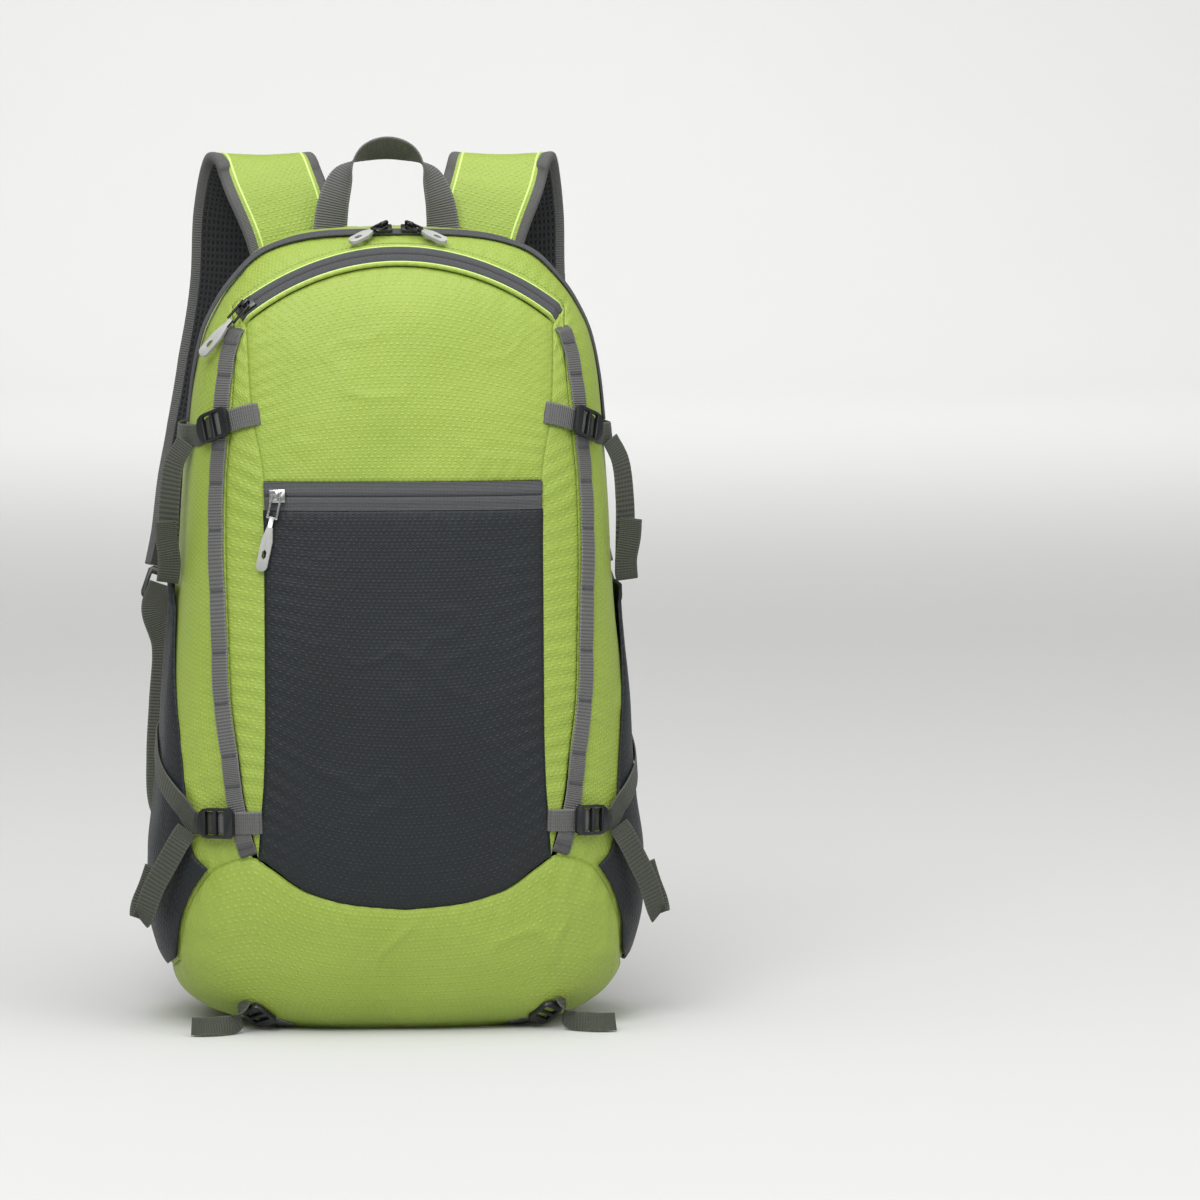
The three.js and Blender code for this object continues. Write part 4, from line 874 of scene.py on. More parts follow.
def base_shape(u, v):
    """A bowl from the flat middle up to the base seam."""
    turn = 360 * u - 180
    ray = points(np.sin(np.radians(turn)), -np.cos(np.radians(turn)), 0)
    out, fore, back = section(0)
    depth = np.where(ray[:, 1] < 0, fore, back)
    sides, ends = np.abs(ray[:, 0] / out) ** ROUNDNESS, np.abs(ray[:, 1] / depth) ** ROUNDNESS
    reach = (sides + ends) ** (-1 / ROUNDNESS)
    flat = ray * (0.999 * reach * np.minimum(v / FLAT_SHARE, 1))[:, None]
    share = np.clip((v - FLAT_SHARE) / (1 - FLAT_SHARE), 0, 1)
    rim = turn_point(np.abs(turn), (base_up(turn) + SEAM_LAP) * share ** 1.6)
    rim[:, 0] *= np.where(turn < 0, -1, 1)
    return np.where((v <= FLAT_SHARE)[:, None], flat, rim)


def back_panel_shape(u, v):
    turn = math.radians(BACK_ARCH_TURN)
    foot, crown = base_up(180) + SEAM_GAP / 2, BACK_ARCH_UP + BACK_ARCH - SEAM_GAP / 2
    t = 2 * u - 1
    edge = back_seam(1 - v * BACK_SIDE_SHARE / 2, SEAM_GAP / 2)
    swell = (np.sqrt(1 - (t * math.sin(turn)) ** 2) - math.cos(turn)) / (1 - math.cos(turn))
    return face_point(t * edge[:, 0], edge[:, 2] + (mix(foot, crown, v) - edge[:, 2]) * swell, False)


def main_zip_shape(u, v):
    angle = np.radians(mix(-MAIN_ZIP_HALF, MAIN_ZIP_HALF, v))
    middle = points(0, MAIN_ZIP_BACK, BACK_ARCH_UP)
    centre = cast(np.broadcast_to(middle, (len(u), 3)), points(np.sin(angle), 0, np.cos(angle)))
    centre[:, 1] += (u - 0.5) * MAIN_ZIP_WIDTH
    return project(centre)


def pocket_off(u, v):
    across = np.sin(np.pi * np.clip(u, 0, 1)) ** 0.6
    return POCKET_REST + POCKET_FULLNESS * read(POCKET_SWELL, 1, v) * across


def side_pocket_shape(u, v):
    turn = mix(read(POCKET_EDGE, 1, v), POCKET_BACK, u)
    return turn_point(turn, mix(base_up(turn) + POCKET_HEM, POCKET_MOUTH * HEIGHT, v))


def over_pocket(p):
    """Lift that webbing needs to lie over a bottle pocket."""
    turn = turn_of(p)
    low = base_up(turn) + POCKET_HEM
    v = np.clip((p[:, 2] - low) / (POCKET_MOUTH * HEIGHT - low), 0, 1)
    front_turn = read(POCKET_EDGE, 1, v)
    u = (turn - front_turn) / (POCKET_BACK - front_turn)
    near = ramp(u, -0.2, -0.05) * (1 - ramp(u, 1.15, 1.35))
    return near * (pocket_off(u, v) + 2 + 3 * REST_GAP)


def lay_strip(knots, steps, lift, width, columns=16):
    """Webbing that lies on the body; lift is a number or a function of share and place."""
    share = np.linspace(0, 1, steps + 1)
    on_body = project(curve(project(np.asarray(knots, float)), share))
    up = normal_at(on_body)
    height = lift(share, on_body) if callable(lift) else np.full(len(share), float(lift))
    line = on_body + up * (height + WEBBING / 2)[:, None]
    return sweep(line, np.cross(tangents(line), up), width, WEBBING, columns=columns)


def free_strip(at, across, width, thickness, steps, **more):
    """Webbing in free air through centres with an across direction each."""
    share = np.linspace(0, 1, steps + 1)
    widths = np.interp(share, np.linspace(0, 1, len(at)), np.broadcast_to(width, (len(at),)))
    return sweep(curve(at, share), curve(across, share), widths, thickness, **more)


def surface_frame(place, direction):
    """Directions along, across and up from the body's face at a place."""
    up = normal_at(project(place))
    along = unit(direction - up * dot(direction, up))
    return along, np.cross(up, along), up


def slot_bulge(distance):
    middle = MIDDLE_BAR / 2 + SLOT_LENGTH / 2
    off = np.abs(np.abs(distance) - middle) / (SLOT_LENGTH / 2)
    return SLOT_RISE * np.cos(np.minimum(off, 1) * np.pi / 2)


def beside(rows):
    """Places beside the body: rows of depth, height and distance off the side, as shares."""
    rows = np.asarray(rows, float)
    y, z = rows[:, 0] * FRONT_DEPTH, rows[:, 1] * HEIGHT
    out, fore, back = section(z)
    rest = np.maximum(0, 1 - np.abs(y / np.where(y < 0, fore, back)) ** ROUNDNESS) ** (1 / ROUNDNESS)
    return points(out * rest + rows[:, 2] * TAIL_REACH, y, z)


def strap_place(row):
    out, up, behind = row[:3]
    first_out, first_up, _, first_wide = STRAP_RUN[0]
    inner = first_out * WIDTH / 2 - first_wide * STRAP_WIDTH / 2
    seat = face_point(inner, first_up * HEIGHT, False)
    lean = STRAP_LEAN * first_wide * STRAP_WIDTH / 2
    start = seat[1] + PAD_PROUD + REST_GAP + STRAP_THICKNESS / 2 - lean
    return np.array([out * WIDTH / 2, start + behind * STRAP_REACH, up * HEIGHT])


def softened_copy(name, node, finishes, bevel, slot, body="bag"):
    """A copy of a hard frame piece with its flat faces joined and its edges rounded."""
    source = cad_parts[node]
    mesh = bmesh.new()
    mesh.from_mesh(source.data)
    bmesh.ops.transform(mesh, matrix=source.matrix_world, verts=mesh.verts)
    bmesh.ops.remove_doubles(mesh, verts=mesh.verts, dist=0.01 * MM)
    bmesh.ops.dissolve_limit(mesh, angle_limit=math.radians(3), verts=mesh.verts, edges=mesh.edges)
    limit = math.radians(HARD_EDGE)
    hard = [e for e in mesh.edges if len(e.link_faces) == 2 and e.calc_face_angle(0) > limit]
    bmesh.ops.bevel(mesh, geom=hard, offset=bevel * MM, offset_type="OFFSET", affect="EDGES", segments=2,
                    profile=0.5, clamp_overlap=True, material=-1)
    mesh.loops.layers.uv.new("cloth")
    return set_down(name, mesh, finishes, [node], slot=slot, body=body, sharp=40)


def bar_tack(at, along, across, length, finish, name, body="bag"):
    """A short dense row of thread sewn through webbing."""
    line = at + np.linspace(-0.5, 0.5, 9)[:, None] * across * length
    mesh = sweep(line, np.broadcast_to(along, line.shape), 1.8, 0.9, columns=8, squareness=2.5)
    return set_down(name, mesh, finish, body=body)


class ClothSettings(bpy.types.PropertyGroup):
    """Colours and liveliness of the cloth."""

    lime: FloatVectorProperty(
        name="Lime", description="Light face of the lime cloth", subtype="COLOR", size=4, min=0, max=1,
        default=linear("A3B653"))
    lime_shade: FloatVectorProperty(
        name="Lime shade", description="Deeper tone between the ripstop cells", subtype="COLOR", size=4,
        min=0, max=1, default=linear("839C34"))
    # Piping colour: lime of the real piping, made paler as a painted highlight along zip and strap edges.
    piping: FloatVectorProperty(
        name="Piping", description="Pale lime piping beside zips and straps", subtype="COLOR", size=4,
        min=0, max=1, default=linear("BFD67C"))
    slate: FloatVectorProperty(
        name="Slate", description="Light face of the slate cloth", subtype="COLOR", size=4, min=0, max=1,
        default=linear("1A2125"))
    slate_shade: FloatVectorProperty(
        name="Slate shade", description="Deeper tone of the slate cloth", subtype="COLOR", size=4,
        min=0, max=1, default=linear("101517"))
    wall: FloatProperty(
        name="Cloth wall", description="Thickness that the cloth shows", default=0.001, min=0.0005,
        max=0.002, unit="LENGTH")
    crumple: FloatProperty(
        name="Crumple", description="How strongly the stuffed cloth folds and creases", default=1.0, min=0,
        max=2)


class TrimSettings(bpy.types.PropertyGroup):
    """Colours of webbing, zips and moulded parts."""

    webbing: FloatVectorProperty(
        name="Webbing", description="Gray webbing", subtype="COLOR", size=4, min=0, max=1,
        default=linear("656564"))
    webbing_edge: FloatVectorProperty(
        name="Webbing edge", description="Selvedge of the gray webbing", subtype="COLOR", size=4, min=0,
        max=1, default=linear("808181"))
    tail: FloatVectorProperty(
        name="Tails", description="Darker webbing of the tails and adjusters", subtype="COLOR", size=4,
        min=0, max=1, default=linear("46493F"))
    tail_edge: FloatVectorProperty(
        name="Tail edge", description="Selvedge of the darker webbing", subtype="COLOR", size=4, min=0,
        max=1, default=linear("5C6054"))
    tape: FloatVectorProperty(
        name="Zip tape", description="Coated zip tape", subtype="COLOR", size=4, min=0, max=1,
        default=linear("56575A"))
    coil: FloatVectorProperty(
        name="Zip line", description="Dark line where the tapes meet", subtype="COLOR", size=4, min=0,
        max=1, default=linear("1E1F20"))
    buckle: FloatVectorProperty(
        name="Buckles", description="Black moulded buckles", subtype="COLOR", size=4, min=0, max=1,
        default=linear("191A1C"))
    pull: FloatVectorProperty(
        name="Pull tips", description="Gray moulded tips of the zip pulls", subtype="COLOR", size=4, min=0,
        max=1, default=linear("9C9D9A"))


def crumple():
    return bpy.context.scene.backpack_cloth.crumple


def cloth_wall():
    return bpy.context.scene.backpack_cloth.wall / MM


def band_lift(profile, crest, base=0.0):
    """Lift of a zip band: soft ridges over the coil and a narrow groove where the tapes meet."""
    def lift(spots, u, v):
        off = (u if profile == "across" else v) - 0.5
        ridges = crest * np.exp(-((np.abs(off) - 0.17) / 0.13) ** 2)
        return base + 0.4 + ridges - 0.9 * np.exp(-(off / 0.035) ** 2) + 0.12 * ripple(spots, 18, 4)

    return lift


class BACKPACK_OT_front(bpy.types.Operator):
    """Lime upper front, slate pocket and the narrow side strips"""

    bl_idname = "backpack.front"
    bl_label = "Front panels"

    def execute(self, context):
        wall, lively = cloth_wall(), crumple()
        size = PANEL_SIZES["upper_front"]
        lift = sewn(size, depth=1.0, pucker=0.7, fold=2.0 * lively, crease=1.0 * lively, seed=2.0)
        mesh = lay_cloth(96, 66, front_panel_shape, size, lift, lap=0.8)
        set_down("upper_front", mesh, "lime_ripstop", ["front_panel"], slot="lime", wall=wall)
        size = PANEL_SIZES["pocket_panel"]
        lift = sewn(size, depth=1.0, pucker=0.6, fold=2.2 * lively, crease=0.9 * lively, seed=6.0,
                    grain=(1, 1, 0.7))
        mesh = lay_cloth(96, 126, front_pocket_shape, size, lift, lap=0.8)
        set_down("pocket_panel", mesh, "slate_ripstop", ["front_pocket"], slot="slate", wall=wall)
        size = PANEL_SIZES["side_strip"]
        lift = sewn(size, depth=0.9, pucker=0.9, fold=1.2, crease=0.5, seed=11.0)
        mesh = lay_cloth(14, 160, side_front_shape, size, lift, lap=0.6)
        set_pair("side_strip", mesh, "lime_ripstop", ["side_front"], slot="lime", wall=wall)
        return {"FINISHED"}


class BACKPACK_OT_sides(bpy.types.Operator):
    """Lime gusset over both sides and the top, and the lime base"""

    bl_idname = "backpack.sides"
    bl_label = "Gusset and base"

    def execute(self, context):
        wall, lively = cloth_wall(), crumple()
        size = PANEL_SIZES["side_gusset"]
        lift = sewn(size, depth=1.1, pucker=0.7, fold=2.2 * lively, crease=1.1 * lively, seed=20.0,
                    grain=(1, 1, 0.55))
        mesh = lay_cloth(520, 76, gusset_shape, size, lift, lap=0.7)
        set_down("side_gusset", mesh, "lime_ripstop", ["gusset"], slot="lime", wall=wall)

        size = PANEL_SIZES["bag_base"]
        soft = sewn(size, depth=1.0, pucker=0, fold=2.6 * lively, crease=1.4 * lively, seed=31.0)

        def base_lift(spots, u, v):
            share = np.clip((v - FLAT_SHARE) / (1 - FLAT_SHARE), 0, 1)
            whole = soft(spots, np.full(len(u), 0.5), np.where(v > 0.5, v, 0.5))
            gathers = 0.8 * np.sin(2 * np.pi * u * BASE_GATHERS + 4 * ripple(spots, 40, 3))
            to_rim = np.maximum(1 - share, 0) * BASE_WALL
            near_rim = np.exp(-to_rim / 9)
            gathers = gathers * (1 - np.exp(-to_rim / 4))
            return (whole + 1.8 * (1 - near_rim) + gathers * near_rim) * ramp(share, 0.05, 0.3)

        mesh = lay_cloth(420, 84, base_shape, size, base_lift, around=True)
        for v in mesh.verts:
            v.co.z = max(v.co.z, 0.0)
        set_down("bag_base", mesh, "lime_ripstop", ["base"], slot="lime", wall=wall)
        return {"FINISHED"}


class BACKPACK_OT_back(bpy.types.Operator):
    """Padded back of black spacer mesh"""

    bl_idname = "backpack.back"
    bl_label = "Back panel"

    def execute(self, context):
        width, rise = PANEL_SIZES["padded_back"]

        def lift(spots, u, v):
            to_side = np.minimum(u, 1 - u) * width
            to_end = np.minimum(v, 1 - v) * rise
            edge = np.minimum(to_side, to_end)
            quilt = np.exp(-((spots[:, 0]) / 4) ** 2) * ramp(to_end, 20, 60)
            return PAD_PROUD * ramp(edge, 0, 12) - 1.6 * quilt + 0.7 * ripple(spots, 60, 40)

        mesh = lay_cloth(104, 176, back_panel_shape, (width, rise), lift)
        piece = set_down("padded_back", mesh, "black_spacer_mesh", ["back_panel"], slot="mesh", wall=2.0)
        return {"FINISHED"}


class BACKPACK_OT_zips(bpy.types.Operator):
    """Coated zips: a pocket zip, the arched front zip and the main zip over the top"""

    bl_idname = "backpack.zips"
    bl_label = "Zips"

    def execute(self, context):
        def line_up(u, v):
            return np.exp(-((v - 0.5) / 0.045) ** 2)

        def line_across(u, v):
            return np.exp(-((u - 0.5) / 0.06) ** 2)

        mesh = lay_cloth(120, 48, pocket_zip_shape, PANEL_SIZES["pocket_zip_band"], band_lift("up", 0.7),
                         extra=line_up)
        set_down("pocket_zip_band", mesh, "zip_tape", ["pocket_zip"], slot="webbing", wall=1.0)
        flat = band_lift("across", 0.7)

        def tucked_lift(spots, u, v):
            return flat(spots, u, v) - 2.2 * ramp(np.abs(v - 0.5), 0.475, 0.5)

        mesh = lay_cloth(40, 260, front_zip_shape, PANEL_SIZES["front_zip_band"], tucked_lift,
                         extra=line_across)
        set_down("front_zip_band", mesh, "zip_tape", ["front_zip"], slot="webbing", wall=1.0)
        angles = np.linspace(-ARCH_HALF - 0.6, ARCH_HALF + 0.6, 120)
        # Each lip of the zip: its radius, its width and how far the piping lies from its middle.
        for name, radius, width, piping_out in (
            ("lower", ARCH_RADIUS + 1, 2.6, -1.0),
            ("upper", ARCH_RADIUS + ZIP_WIDTH - 1.4, 3.6, 1.4),
        ):
            on_body = arch_point(angles, radius)
            up = normal_at(on_body)
            on_body = on_body - up * (3 * ramp(np.abs(angles), ARCH_HALF - 2, ARCH_HALF + 0.6))[:, None]
            outward = np.cross(tangents(on_body), up)
            mesh = sweep(on_body + up * 0.7, outward, width, 2.4, columns=14, squareness=2.4)
            set_down(f"zip_lip_{name}", mesh, "lime_ripstop")
            # Piping cords along the zip lips: real piping, painted paler as a highlight.
            mesh = sweep(on_body + up * 1.5 + outward * piping_out, outward, 1.0, 1.0, columns=8,
                         squareness=2)
            set_down(f"zip_piping_highlight_{name}", mesh, "lime_piping")
        mesh = lay_cloth(24, 300, main_zip_shape, PANEL_SIZES["main_zip_band"],
                         band_lift("across", 0.6, 0.6), extra=line_across)
        set_down("main_zip_band", mesh, "zip_tape", ["main_zip"], slot="webbing", wall=1.0)
        return {"FINISHED"}


class BACKPACK_OT_side_pockets(bpy.types.Operator):
    """Slate bottle pockets with an elastic hem"""

    bl_idname = "backpack.side_pockets"
    bl_label = "Bottle pockets"

    def execute(self, context):
        width, rise = PANEL_SIZES["bottle_pocket"]

        def lift(spots, u, v):
            hem = 0.8 * ramp(v, 0.955, 0.97)
            wave = np.sin(2 * np.pi * u * width / HEM_GATHER + 3 * ripple(spots, 25, 51))
            gathers = 0.9 * np.exp(-(1 - v) * rise / 16) * wave
            edge = np.minimum(np.minimum(u, 1 - u) * width, v * rise)
            folds = 1.6 * ripple(spots * np.array([1, 1, 0.35]), 26, 55) * (1 - np.exp(-edge / 12))
            return pocket_off(u, v) + 1.4 + hem + gathers + folds * crumple() - 0.8 * np.exp(-edge / 2.5)

        mesh = lay_cloth(76, 120, side_pocket_shape, (width, rise), lift)
        set_pair("bottle_pocket", mesh, "slate_ripstop", ["side_pocket"], slot="slate",
                 wall=cloth_wall())
        return {"FINISHED"}


class BACKPACK_OT_daisy_webbing(bpy.types.Operator):
    """Webbing up both sides of the front, tacked down at intervals"""

    bl_idname = "backpack.daisy_webbing"
    bl_label = "Daisy webbing"

    def execute(self, context):
        knots = face_point(DAISY_LINE[:, 1] * WIDTH / 2, DAISY_LINE[:, 0] * HEIGHT)
        tacks = np.linspace(0.06, 0.94, 13)

        def lift(share, place):
            near = np.min(np.abs(share[:, None] - tacks), axis=1) * 350
            tucked = 2.4 * ramp(np.abs(share - 0.5), 0.478, 0.5)
            return REST_GAP + 0.7 * (1 - np.exp(-near / 5)) - tucked

        mesh = lay_strip(knots, 220, lift, DAISY_WIDTH, columns=20)
        set_pair("daisy_strip", mesh, "gray_webbing", ["daisy_webbing"], slot="webbing")
        on_body = project(curve(project(knots), tacks))
        up = normal_at(on_body)
        ahead = tangents(on_body)
        for k in range(len(tacks)):
            place = on_body[k] + up[k] * (REST_GAP + WEBBING + 0.1)
            for side, name in ((1, "right"), (-1, "left")):
                turned = np.array([side, 1, 1])
                bar_tack(place * turned, ahead[k] * turned, unit(np.cross(ahead[k], up[k])) * turned,
                         DAISY_WIDTH - 2.5, "gray_thread", f"daisy_tack_{name}_{k}")
        return {"FINISHED"}


class BACKPACK_OT_haul_handle(bpy.types.Operator):
    """Webbing handle at the top of the back"""

    bl_idname = "backpack.haul_handle"
    bl_label = "Haul handle"

    def execute(self, context):
        def half(side):
            at, across = [], []
            for out, up, deep, sideways, down in HANDLE_RUN:
                back = math.sqrt(max(0, 1 - sideways ** 2 - down ** 2))
                at.append((side * out * WIDTH / 2, deep * BACK_DEPTH, up * HEIGHT))
                across.append((side * sideways, back, -down))
            return at, across

        left, right = half(-1), half(1)
        at = np.array(left[0] + right[0][:-1][::-1])
        across = np.array(left[1] + right[1][:-1][::-1])
        mesh = free_strip(at, across, 22, 1.6, 150, columns=24)
        set_down("grab_handle", mesh, "gray_webbing", ["haul_handle"], slot="webbing")
        return {"FINISHED"}


class BACKPACK_OT_shoulder_straps(bpy.types.Operator):
    """Padded shoulder straps with a bound edge"""

    bl_idname = "backpack.shoulder_straps"
    bl_label = "Shoulder straps"

    def execute(self, context):
        at = np.array([strap_place(row) for row in STRAP_RUN])
        across = np.array([(1, 0.25 * row[2] - STRAP_LEAN, 0) for row in STRAP_RUN])
        width = np.array([row[3] * STRAP_WIDTH for row in STRAP_RUN])
        steps = 190
        share = np.linspace(0, 1, steps + 1)
        line, side = curve(at, share), curve(across, share)
        ahead = tangents(line)
        side = unit(side - ahead * dot(side, ahead))
        widths = np.interp(share, np.linspace(0, 1, len(width)), width)
        mesh = sweep(line, side, widths - 3, STRAP_THICKNESS, columns=64, squareness=3.2)
        outward = unit(np.cross(side, ahead))
        middle = np.array([0.0, 0.0, 250.0])
        if np.mean(dot(outward, line - middle)) < 0:
            outward = -outward
        for face in mesh.faces:
            centre = np.array(face.calc_center_median()) / MM
            k = np.argmin(np.linalg.norm(line - centre, axis=1))
            face.material_index = int(np.dot(np.array(face.normal), outward[k]) < -0.2)
        pads = set_pair("strap_pad", mesh, ["lime_ripstop", "black_spacer_mesh"], ["shoulder_strap"],
                        slot="lime")
        for edge, name in ((-1, "inner"), (1, "outer")):
            rim = line + side * (edge * (widths / 2 - 4.2))[:, None]
            mesh = sweep(rim, side, BINDING_WIDTH, BINDING_THICKNESS, columns=18, squareness=3)
            set_pair(f"strap_binding_{name}", mesh, "binding_tape")
            # Piping inset on the strap face: real piping, painted paler as a highlight.
            inset = line + side * (edge * (widths / 2 - 8.4))[:, None] + outward * 3.4
            mesh = sweep(inset, side, 1.6, 1.6, columns=10, squareness=2)
            set_pair(f"strap_piping_{name}", mesh, "lime_piping")
        return {"FINISHED"}


class BACKPACK_OT_shoulder_adjusters(bpy.types.Operator):
    """Adjuster buckles under the shoulder straps and their webbing"""

    bl_idname = "backpack.shoulder_adjusters"
    bl_label = "Strap adjusters"

    def execute(self, context):
        end, before = strap_place(STRAP_RUN[-1]), strap_place(STRAP_RUN[-2])
        down = unit(end - before)
        side = np.array([1, 0.12, 0])
        side = unit(side - down * dot(side, down))
        up = unit(np.cross(down, side))
        origin = end + down * (ADJUSTER_LENGTH / 2 + REST_GAP)
        towards = 1 if up[1] < 0 else -1
        top = origin + up * towards * (ADJUSTER_THICKNESS / 2 + REST_GAP + WEBBING / 2) - down * 2
        leave = top + down * (ADJUSTER_LENGTH / 2 + 4)
        seat = turn_point(ADJUSTER_SEAT[0], ADJUSTER_SEAT[1] * HEIGHT)
        out = normal_at(seat)
        seat = seat + out * (PAD_PROUD + REST_GAP + WEBBING / 2)
        at = np.array([top, leave] + [strap_place(row) for row in ADJUSTER_RUN] + [seat])
        across = np.array([side] * (len(at) - 1) + [(out[1], -out[0], 0)])
        mesh = free_strip(at, across, ADJUSTER_WEBBING, WEBBING, 110, columns=20)
        set_pair("adjuster_strip", mesh, "olive_webbing", ["shoulder_webbing"], slot="webbing")
        for name in ("right", "left"):
            softened_copy(f"adjuster_lock_{name}", f"shoulder_buckle_{name}", "black_acetal", 0.5,
                          "plastic")
        return {"FINISHED"}


def build_compression(name, places, tail, tail_across):
    anchor_at = face_point(places["anchor"][0] * WIDTH / 2, places["anchor"][1] * HEIGHT)
    buckle_at = face_point(places["buckle"][0] * WIDTH / 2, places["buckle"][1] * HEIGHT)
    along = surface_frame(buckle_at, buckle_at - anchor_at)[0]
    layer_two = REST_GAP + WEBBING + REST_GAP

    def from_buckle(place):
        return (place - buckle_at) @ along

    def anchor_lift(share, place):
        lie = mix(REST_GAP, layer_two, ramp(share, *places["rise"])) + slot_bulge(from_buckle(place))
        return lie - 2.6 * (1 - ramp(share, 0, 0.09))

    def strap_lift(share, place):
        away = from_buckle(place)
        eased = mix(layer_two, REST_GAP, ramp(share, 0.2, 0.4))
        free = np.maximum(eased, over_pocket(place))
        return np.where(away < BUCKLE_LENGTH / 2, layer_two + slot_bulge(away), free)

    inner = buckle_at - along * REST_GAP
    mesh = lay_strip([anchor_at, mix(anchor_at, inner, 0.5), inner], 40, anchor_lift, COMPRESSION_WIDTH)
    set_pair(f"{name}_anchor_strip", mesh, "gray_webbing", [f"{name}_anchor"], slot="webbing")
    knots = [buckle_at + along * REST_GAP]
    knots += [buckle_at + along * share * BUCKLE_LENGTH for share in (0.25, 0.5, 0.66)]
    knots += [turn_point(turn, rise * HEIGHT) for turn, rise in places["run"]]
    mesh = lay_strip(knots, 120, strap_lift, COMPRESSION_WIDTH)
    set_pair(f"{name}_side_strip", mesh, "olive_webbing", [f"{name}_strap"], slot="webbing")
    share = np.linspace(0, 1, len(tail))
    mesh = free_strip(beside(tail), tail_across(share), COMPRESSION_WIDTH, WEBBING, 90)
    set_pair(f"{name}_loose_tail", mesh, "olive_webbing", [f"{name}_tail"], slot="webbing")
    for side in ("right", "left"):
        softened_copy(f"{name}_lock_{side}", f"{name}_buckle_{side}", "black_acetal", 0.45, "plastic")


class BACKPACK_OT_compression_straps(bpy.types.Operator):
    """Compression straps at the sides: anchor, lock, strap and loose tail"""

    bl_idname = "backpack.compression_straps"
    bl_label = "Compression straps"

    def execute(self, context):
        build_compression("upper", UPPER_PLACES, UPPER_TAIL,
                          lambda t: points(0.85 + 0 * t, 0.7 - t, 0.1))
        build_compression("lower", LOWER_PLACES, LOWER_TAIL,
                          lambda t: points(0.55 + 0 * t, 0.15, 0.62))
        return {"FINISHED"}


class BACKPACK_OT_gear_straps(bpy.types.Operator):
    """Gear straps under the front of the base"""

    bl_idname = "backpack.gear_straps"
    bl_label = "Gear straps"

    def execute(self, context):
        turn, rise, under_rise = GEAR_PLACE
        at = turn_point(turn, rise * HEIGHT)
        along, across, up = surface_frame(at, np.array([at[0], at[1], HEIGHT * 0.1]))
        under = turn_point(turn - 2, under_rise * HEIGHT)
        width = COMPRESSION_WIDTH * 0.86
        mesh = lay_strip([under, at, at + along * 9], 30, REST_GAP, width)
        set_pair("gear_anchor", mesh, "gray_webbing", ["bottom_strap"], slot="webbing")
        nose = at + along * 13 + up
        places = [nose] + [np.array([nose[0] + out, nose[1] - ahead, rise])
                           for out, ahead, rise, lean in BOTTOM_TAIL]
        turned = [across] + [np.array([0, lean, 1.0]) for _, _, _, lean in BOTTOM_TAIL]
        mesh = free_strip(np.array(places), np.array(turned), width, WEBBING, 60)
        set_pair("gear_tail", mesh, "olive_webbing", ["bottom_tail"], slot="webbing")
        for side in ("right", "left"):
            softened_copy(f"gear_lock_{side}", f"bottom_buckle_{side}", "black_acetal", 0.4, "plastic")
        return {"FINISHED"}


class BACKPACK_OT_pulls(bpy.types.Operator):
    """Zip sliders and their pulls"""

    bl_idname = "backpack.pulls"
    bl_label = "Sliders and pulls"

    def execute(self, context):
        for name in ("pocket", "front", "main_left", "main_right"):
            bright = name == "pocket"
            metal = "bright_zinc" if bright else "dark_zinc"
            softened_copy(f"{name}_zip_slider", f"{name}_slider", metal, 0.3, "metal")
            piece = softened_copy(f"{name}_zip_pull", f"{name}_pull", [metal, "gray_soft_plastic"], 0.25,
                                  "tip", body=f"{name}_pull_body")
            paint_tip(piece, name)
        return {"FINISHED"}


def paint_tip(piece, name):
    """Gives the moulded tip its own finish, past the wire bail."""
    start = Vector(PULL_HINGES[name][0]) * MM
    along = Vector(PULL_HINGES[name][1])
    bail = PULL_BAILS[name] * MM
    for face in piece.data.polygons:
        face.material_index = int((face.center - start).dot(along) > bail)


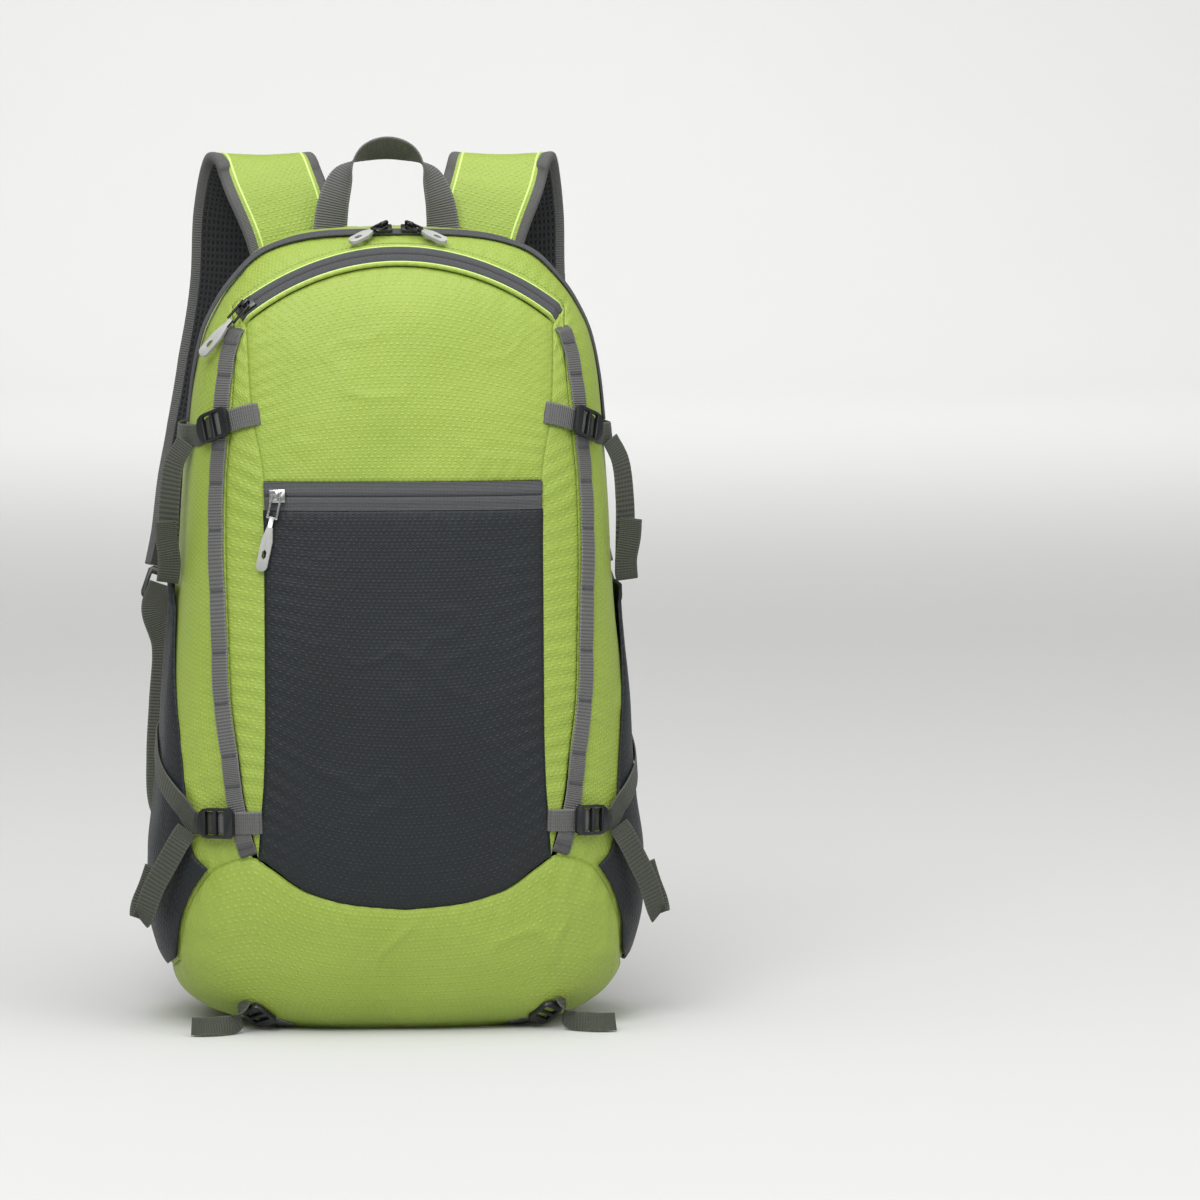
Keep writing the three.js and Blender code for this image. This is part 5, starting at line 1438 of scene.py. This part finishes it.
class BACKPACK_OT_stage(bpy.types.Operator):
    """Studio floor, light and camera"""

    bl_idname = "backpack.stage"
    bl_label = "Stage"

    def execute(self, context):
        def sweep_up(u, v):
            run = v * FLOOR_RUN
            turn = np.clip((run - FLOOR_DEPTH) / FLOOR_CURVE, 0, np.pi / 2)
            y = FLOOR_FRONT + np.minimum(run, FLOOR_DEPTH) + FLOOR_CURVE * np.sin(turn)
            rise = np.maximum(run - FLOOR_DEPTH - FLOOR_CURVE * np.pi / 2, 0)
            return points((u - 0.5) * FLOOR_WIDTH, y, FLOOR_CURVE * (1 - np.cos(turn)) + rise)

        mesh = lay_grid(8, 150, sweep_up, (FLOOR_WIDTH, FLOOR_RUN))
        data = bpy.data.meshes.new("backdrop")
        for face in mesh.faces:
            face.smooth = True
        mesh.to_mesh(data)
        mesh.free()
        floor = bpy.data.objects.new("backdrop", data)
        data.materials.append(studio_paper("backdrop_paper", linear("CECECD")))
        bpy.context.scene.collection.objects.link(floor)
        context.scene.view_settings.view_transform = "Standard"
        self.add_lights(context.scene)
        self.add_camera(context.scene)
        return {"FINISHED"}

    def add_lights(self, scene):
        world = bpy.data.worlds.new("studio")
        world.use_nodes = True
        world.node_tree.nodes["Background"].inputs["Color"].default_value = (1, 1, 1, 1)
        world.node_tree.nodes["Background"].inputs["Strength"].default_value = ROOM_LIGHT
        scene.world = world
        for name, place, aim, size, power in AREA_LIGHTS:
            light = bpy.data.lights.new(name, "AREA")
            light.shape = "DISK"
            light.size = size
            light.energy = power
            lamp = bpy.data.objects.new(name, light)
            lamp.location = place
            lamp.rotation_euler = (Vector(aim) - Vector(place)).to_track_quat("-Z", "Y").to_euler()
            scene.collection.objects.link(lamp)
        sky = bpy.data.lights.new("sky", "SUN")
        sky.angle = math.radians(SKY_SPREAD)
        sky.energy = SKY_LIGHT
        lamp = bpy.data.objects.new("sky", sky)
        lamp.rotation_euler = (math.radians(SKY_TILT), 0, 0)
        scene.collection.objects.link(lamp)

    def add_camera(self, scene):
        turn, rise = math.radians(CAMERA_TURN), math.radians(CAMERA_RISE)
        level = math.cos(rise)
        back = Vector((math.sin(turn) * level, -math.cos(turn) * level, math.sin(rise)))
        aim = Vector(CAMERA_AIM)
        lens = bpy.data.cameras.new("camera")
        lens.lens = SENSOR_WIDTH * CAMERA_AWAY / FRAME_WIDTH
        lens.shift_x, lens.shift_y = FRAME_SHIFT
        lens.dof.use_dof = False
        camera = bpy.data.objects.new("camera", lens)
        camera.location = aim + back * CAMERA_AWAY * MM
        camera.rotation_euler = (-back).to_track_quat("-Z", "Y").to_euler()
        scene.collection.objects.link(camera)
        scene.camera = camera


class BACKPACK_PT_panel(bpy.types.Panel):
    """Pieces of the backpack in the order in which they are built"""

    bl_idname = "BACKPACK_PT_panel"
    bl_label = "Backpack"
    bl_space_type = "VIEW_3D"
    bl_region_type = "UI"
    bl_category = "Backpack"

    def draw(self, context):
        for group in (context.scene.backpack_cloth, context.scene.backpack_trim):
            box = self.layout.box()
            for key in group.bl_rna.properties.keys():
                if key not in {"rna_type", "name"}:
                    box.prop(group, key)
        for operator in OPERATORS:
            self.layout.operator(operator.bl_idname)


OPERATORS = (
    BACKPACK_OT_front, BACKPACK_OT_sides, BACKPACK_OT_back, BACKPACK_OT_zips, BACKPACK_OT_side_pockets,
    BACKPACK_OT_daisy_webbing, BACKPACK_OT_haul_handle, BACKPACK_OT_shoulder_straps,
    BACKPACK_OT_shoulder_adjusters, BACKPACK_OT_compression_straps, BACKPACK_OT_gear_straps,
    BACKPACK_OT_pulls, BACKPACK_OT_stage,
)
CLASSES = (ClothSettings, TrimSettings, *OPERATORS, BACKPACK_PT_panel)


def register():
    for item in CLASSES:
        bpy.utils.register_class(item)
    bpy.types.Scene.backpack_cloth = PointerProperty(type=ClothSettings)
    bpy.types.Scene.backpack_trim = PointerProperty(type=TrimSettings)


def unregister():
    del bpy.types.Scene.backpack_trim
    del bpy.types.Scene.backpack_cloth
    for item in reversed(CLASSES):
        bpy.utils.unregister_class(item)


def main():
    register()
    for operator in OPERATORS:
        name = operator.bl_idname.split(".")[1]
        getattr(bpy.ops.backpack, name)()


if __name__ == "__main__":
    main()
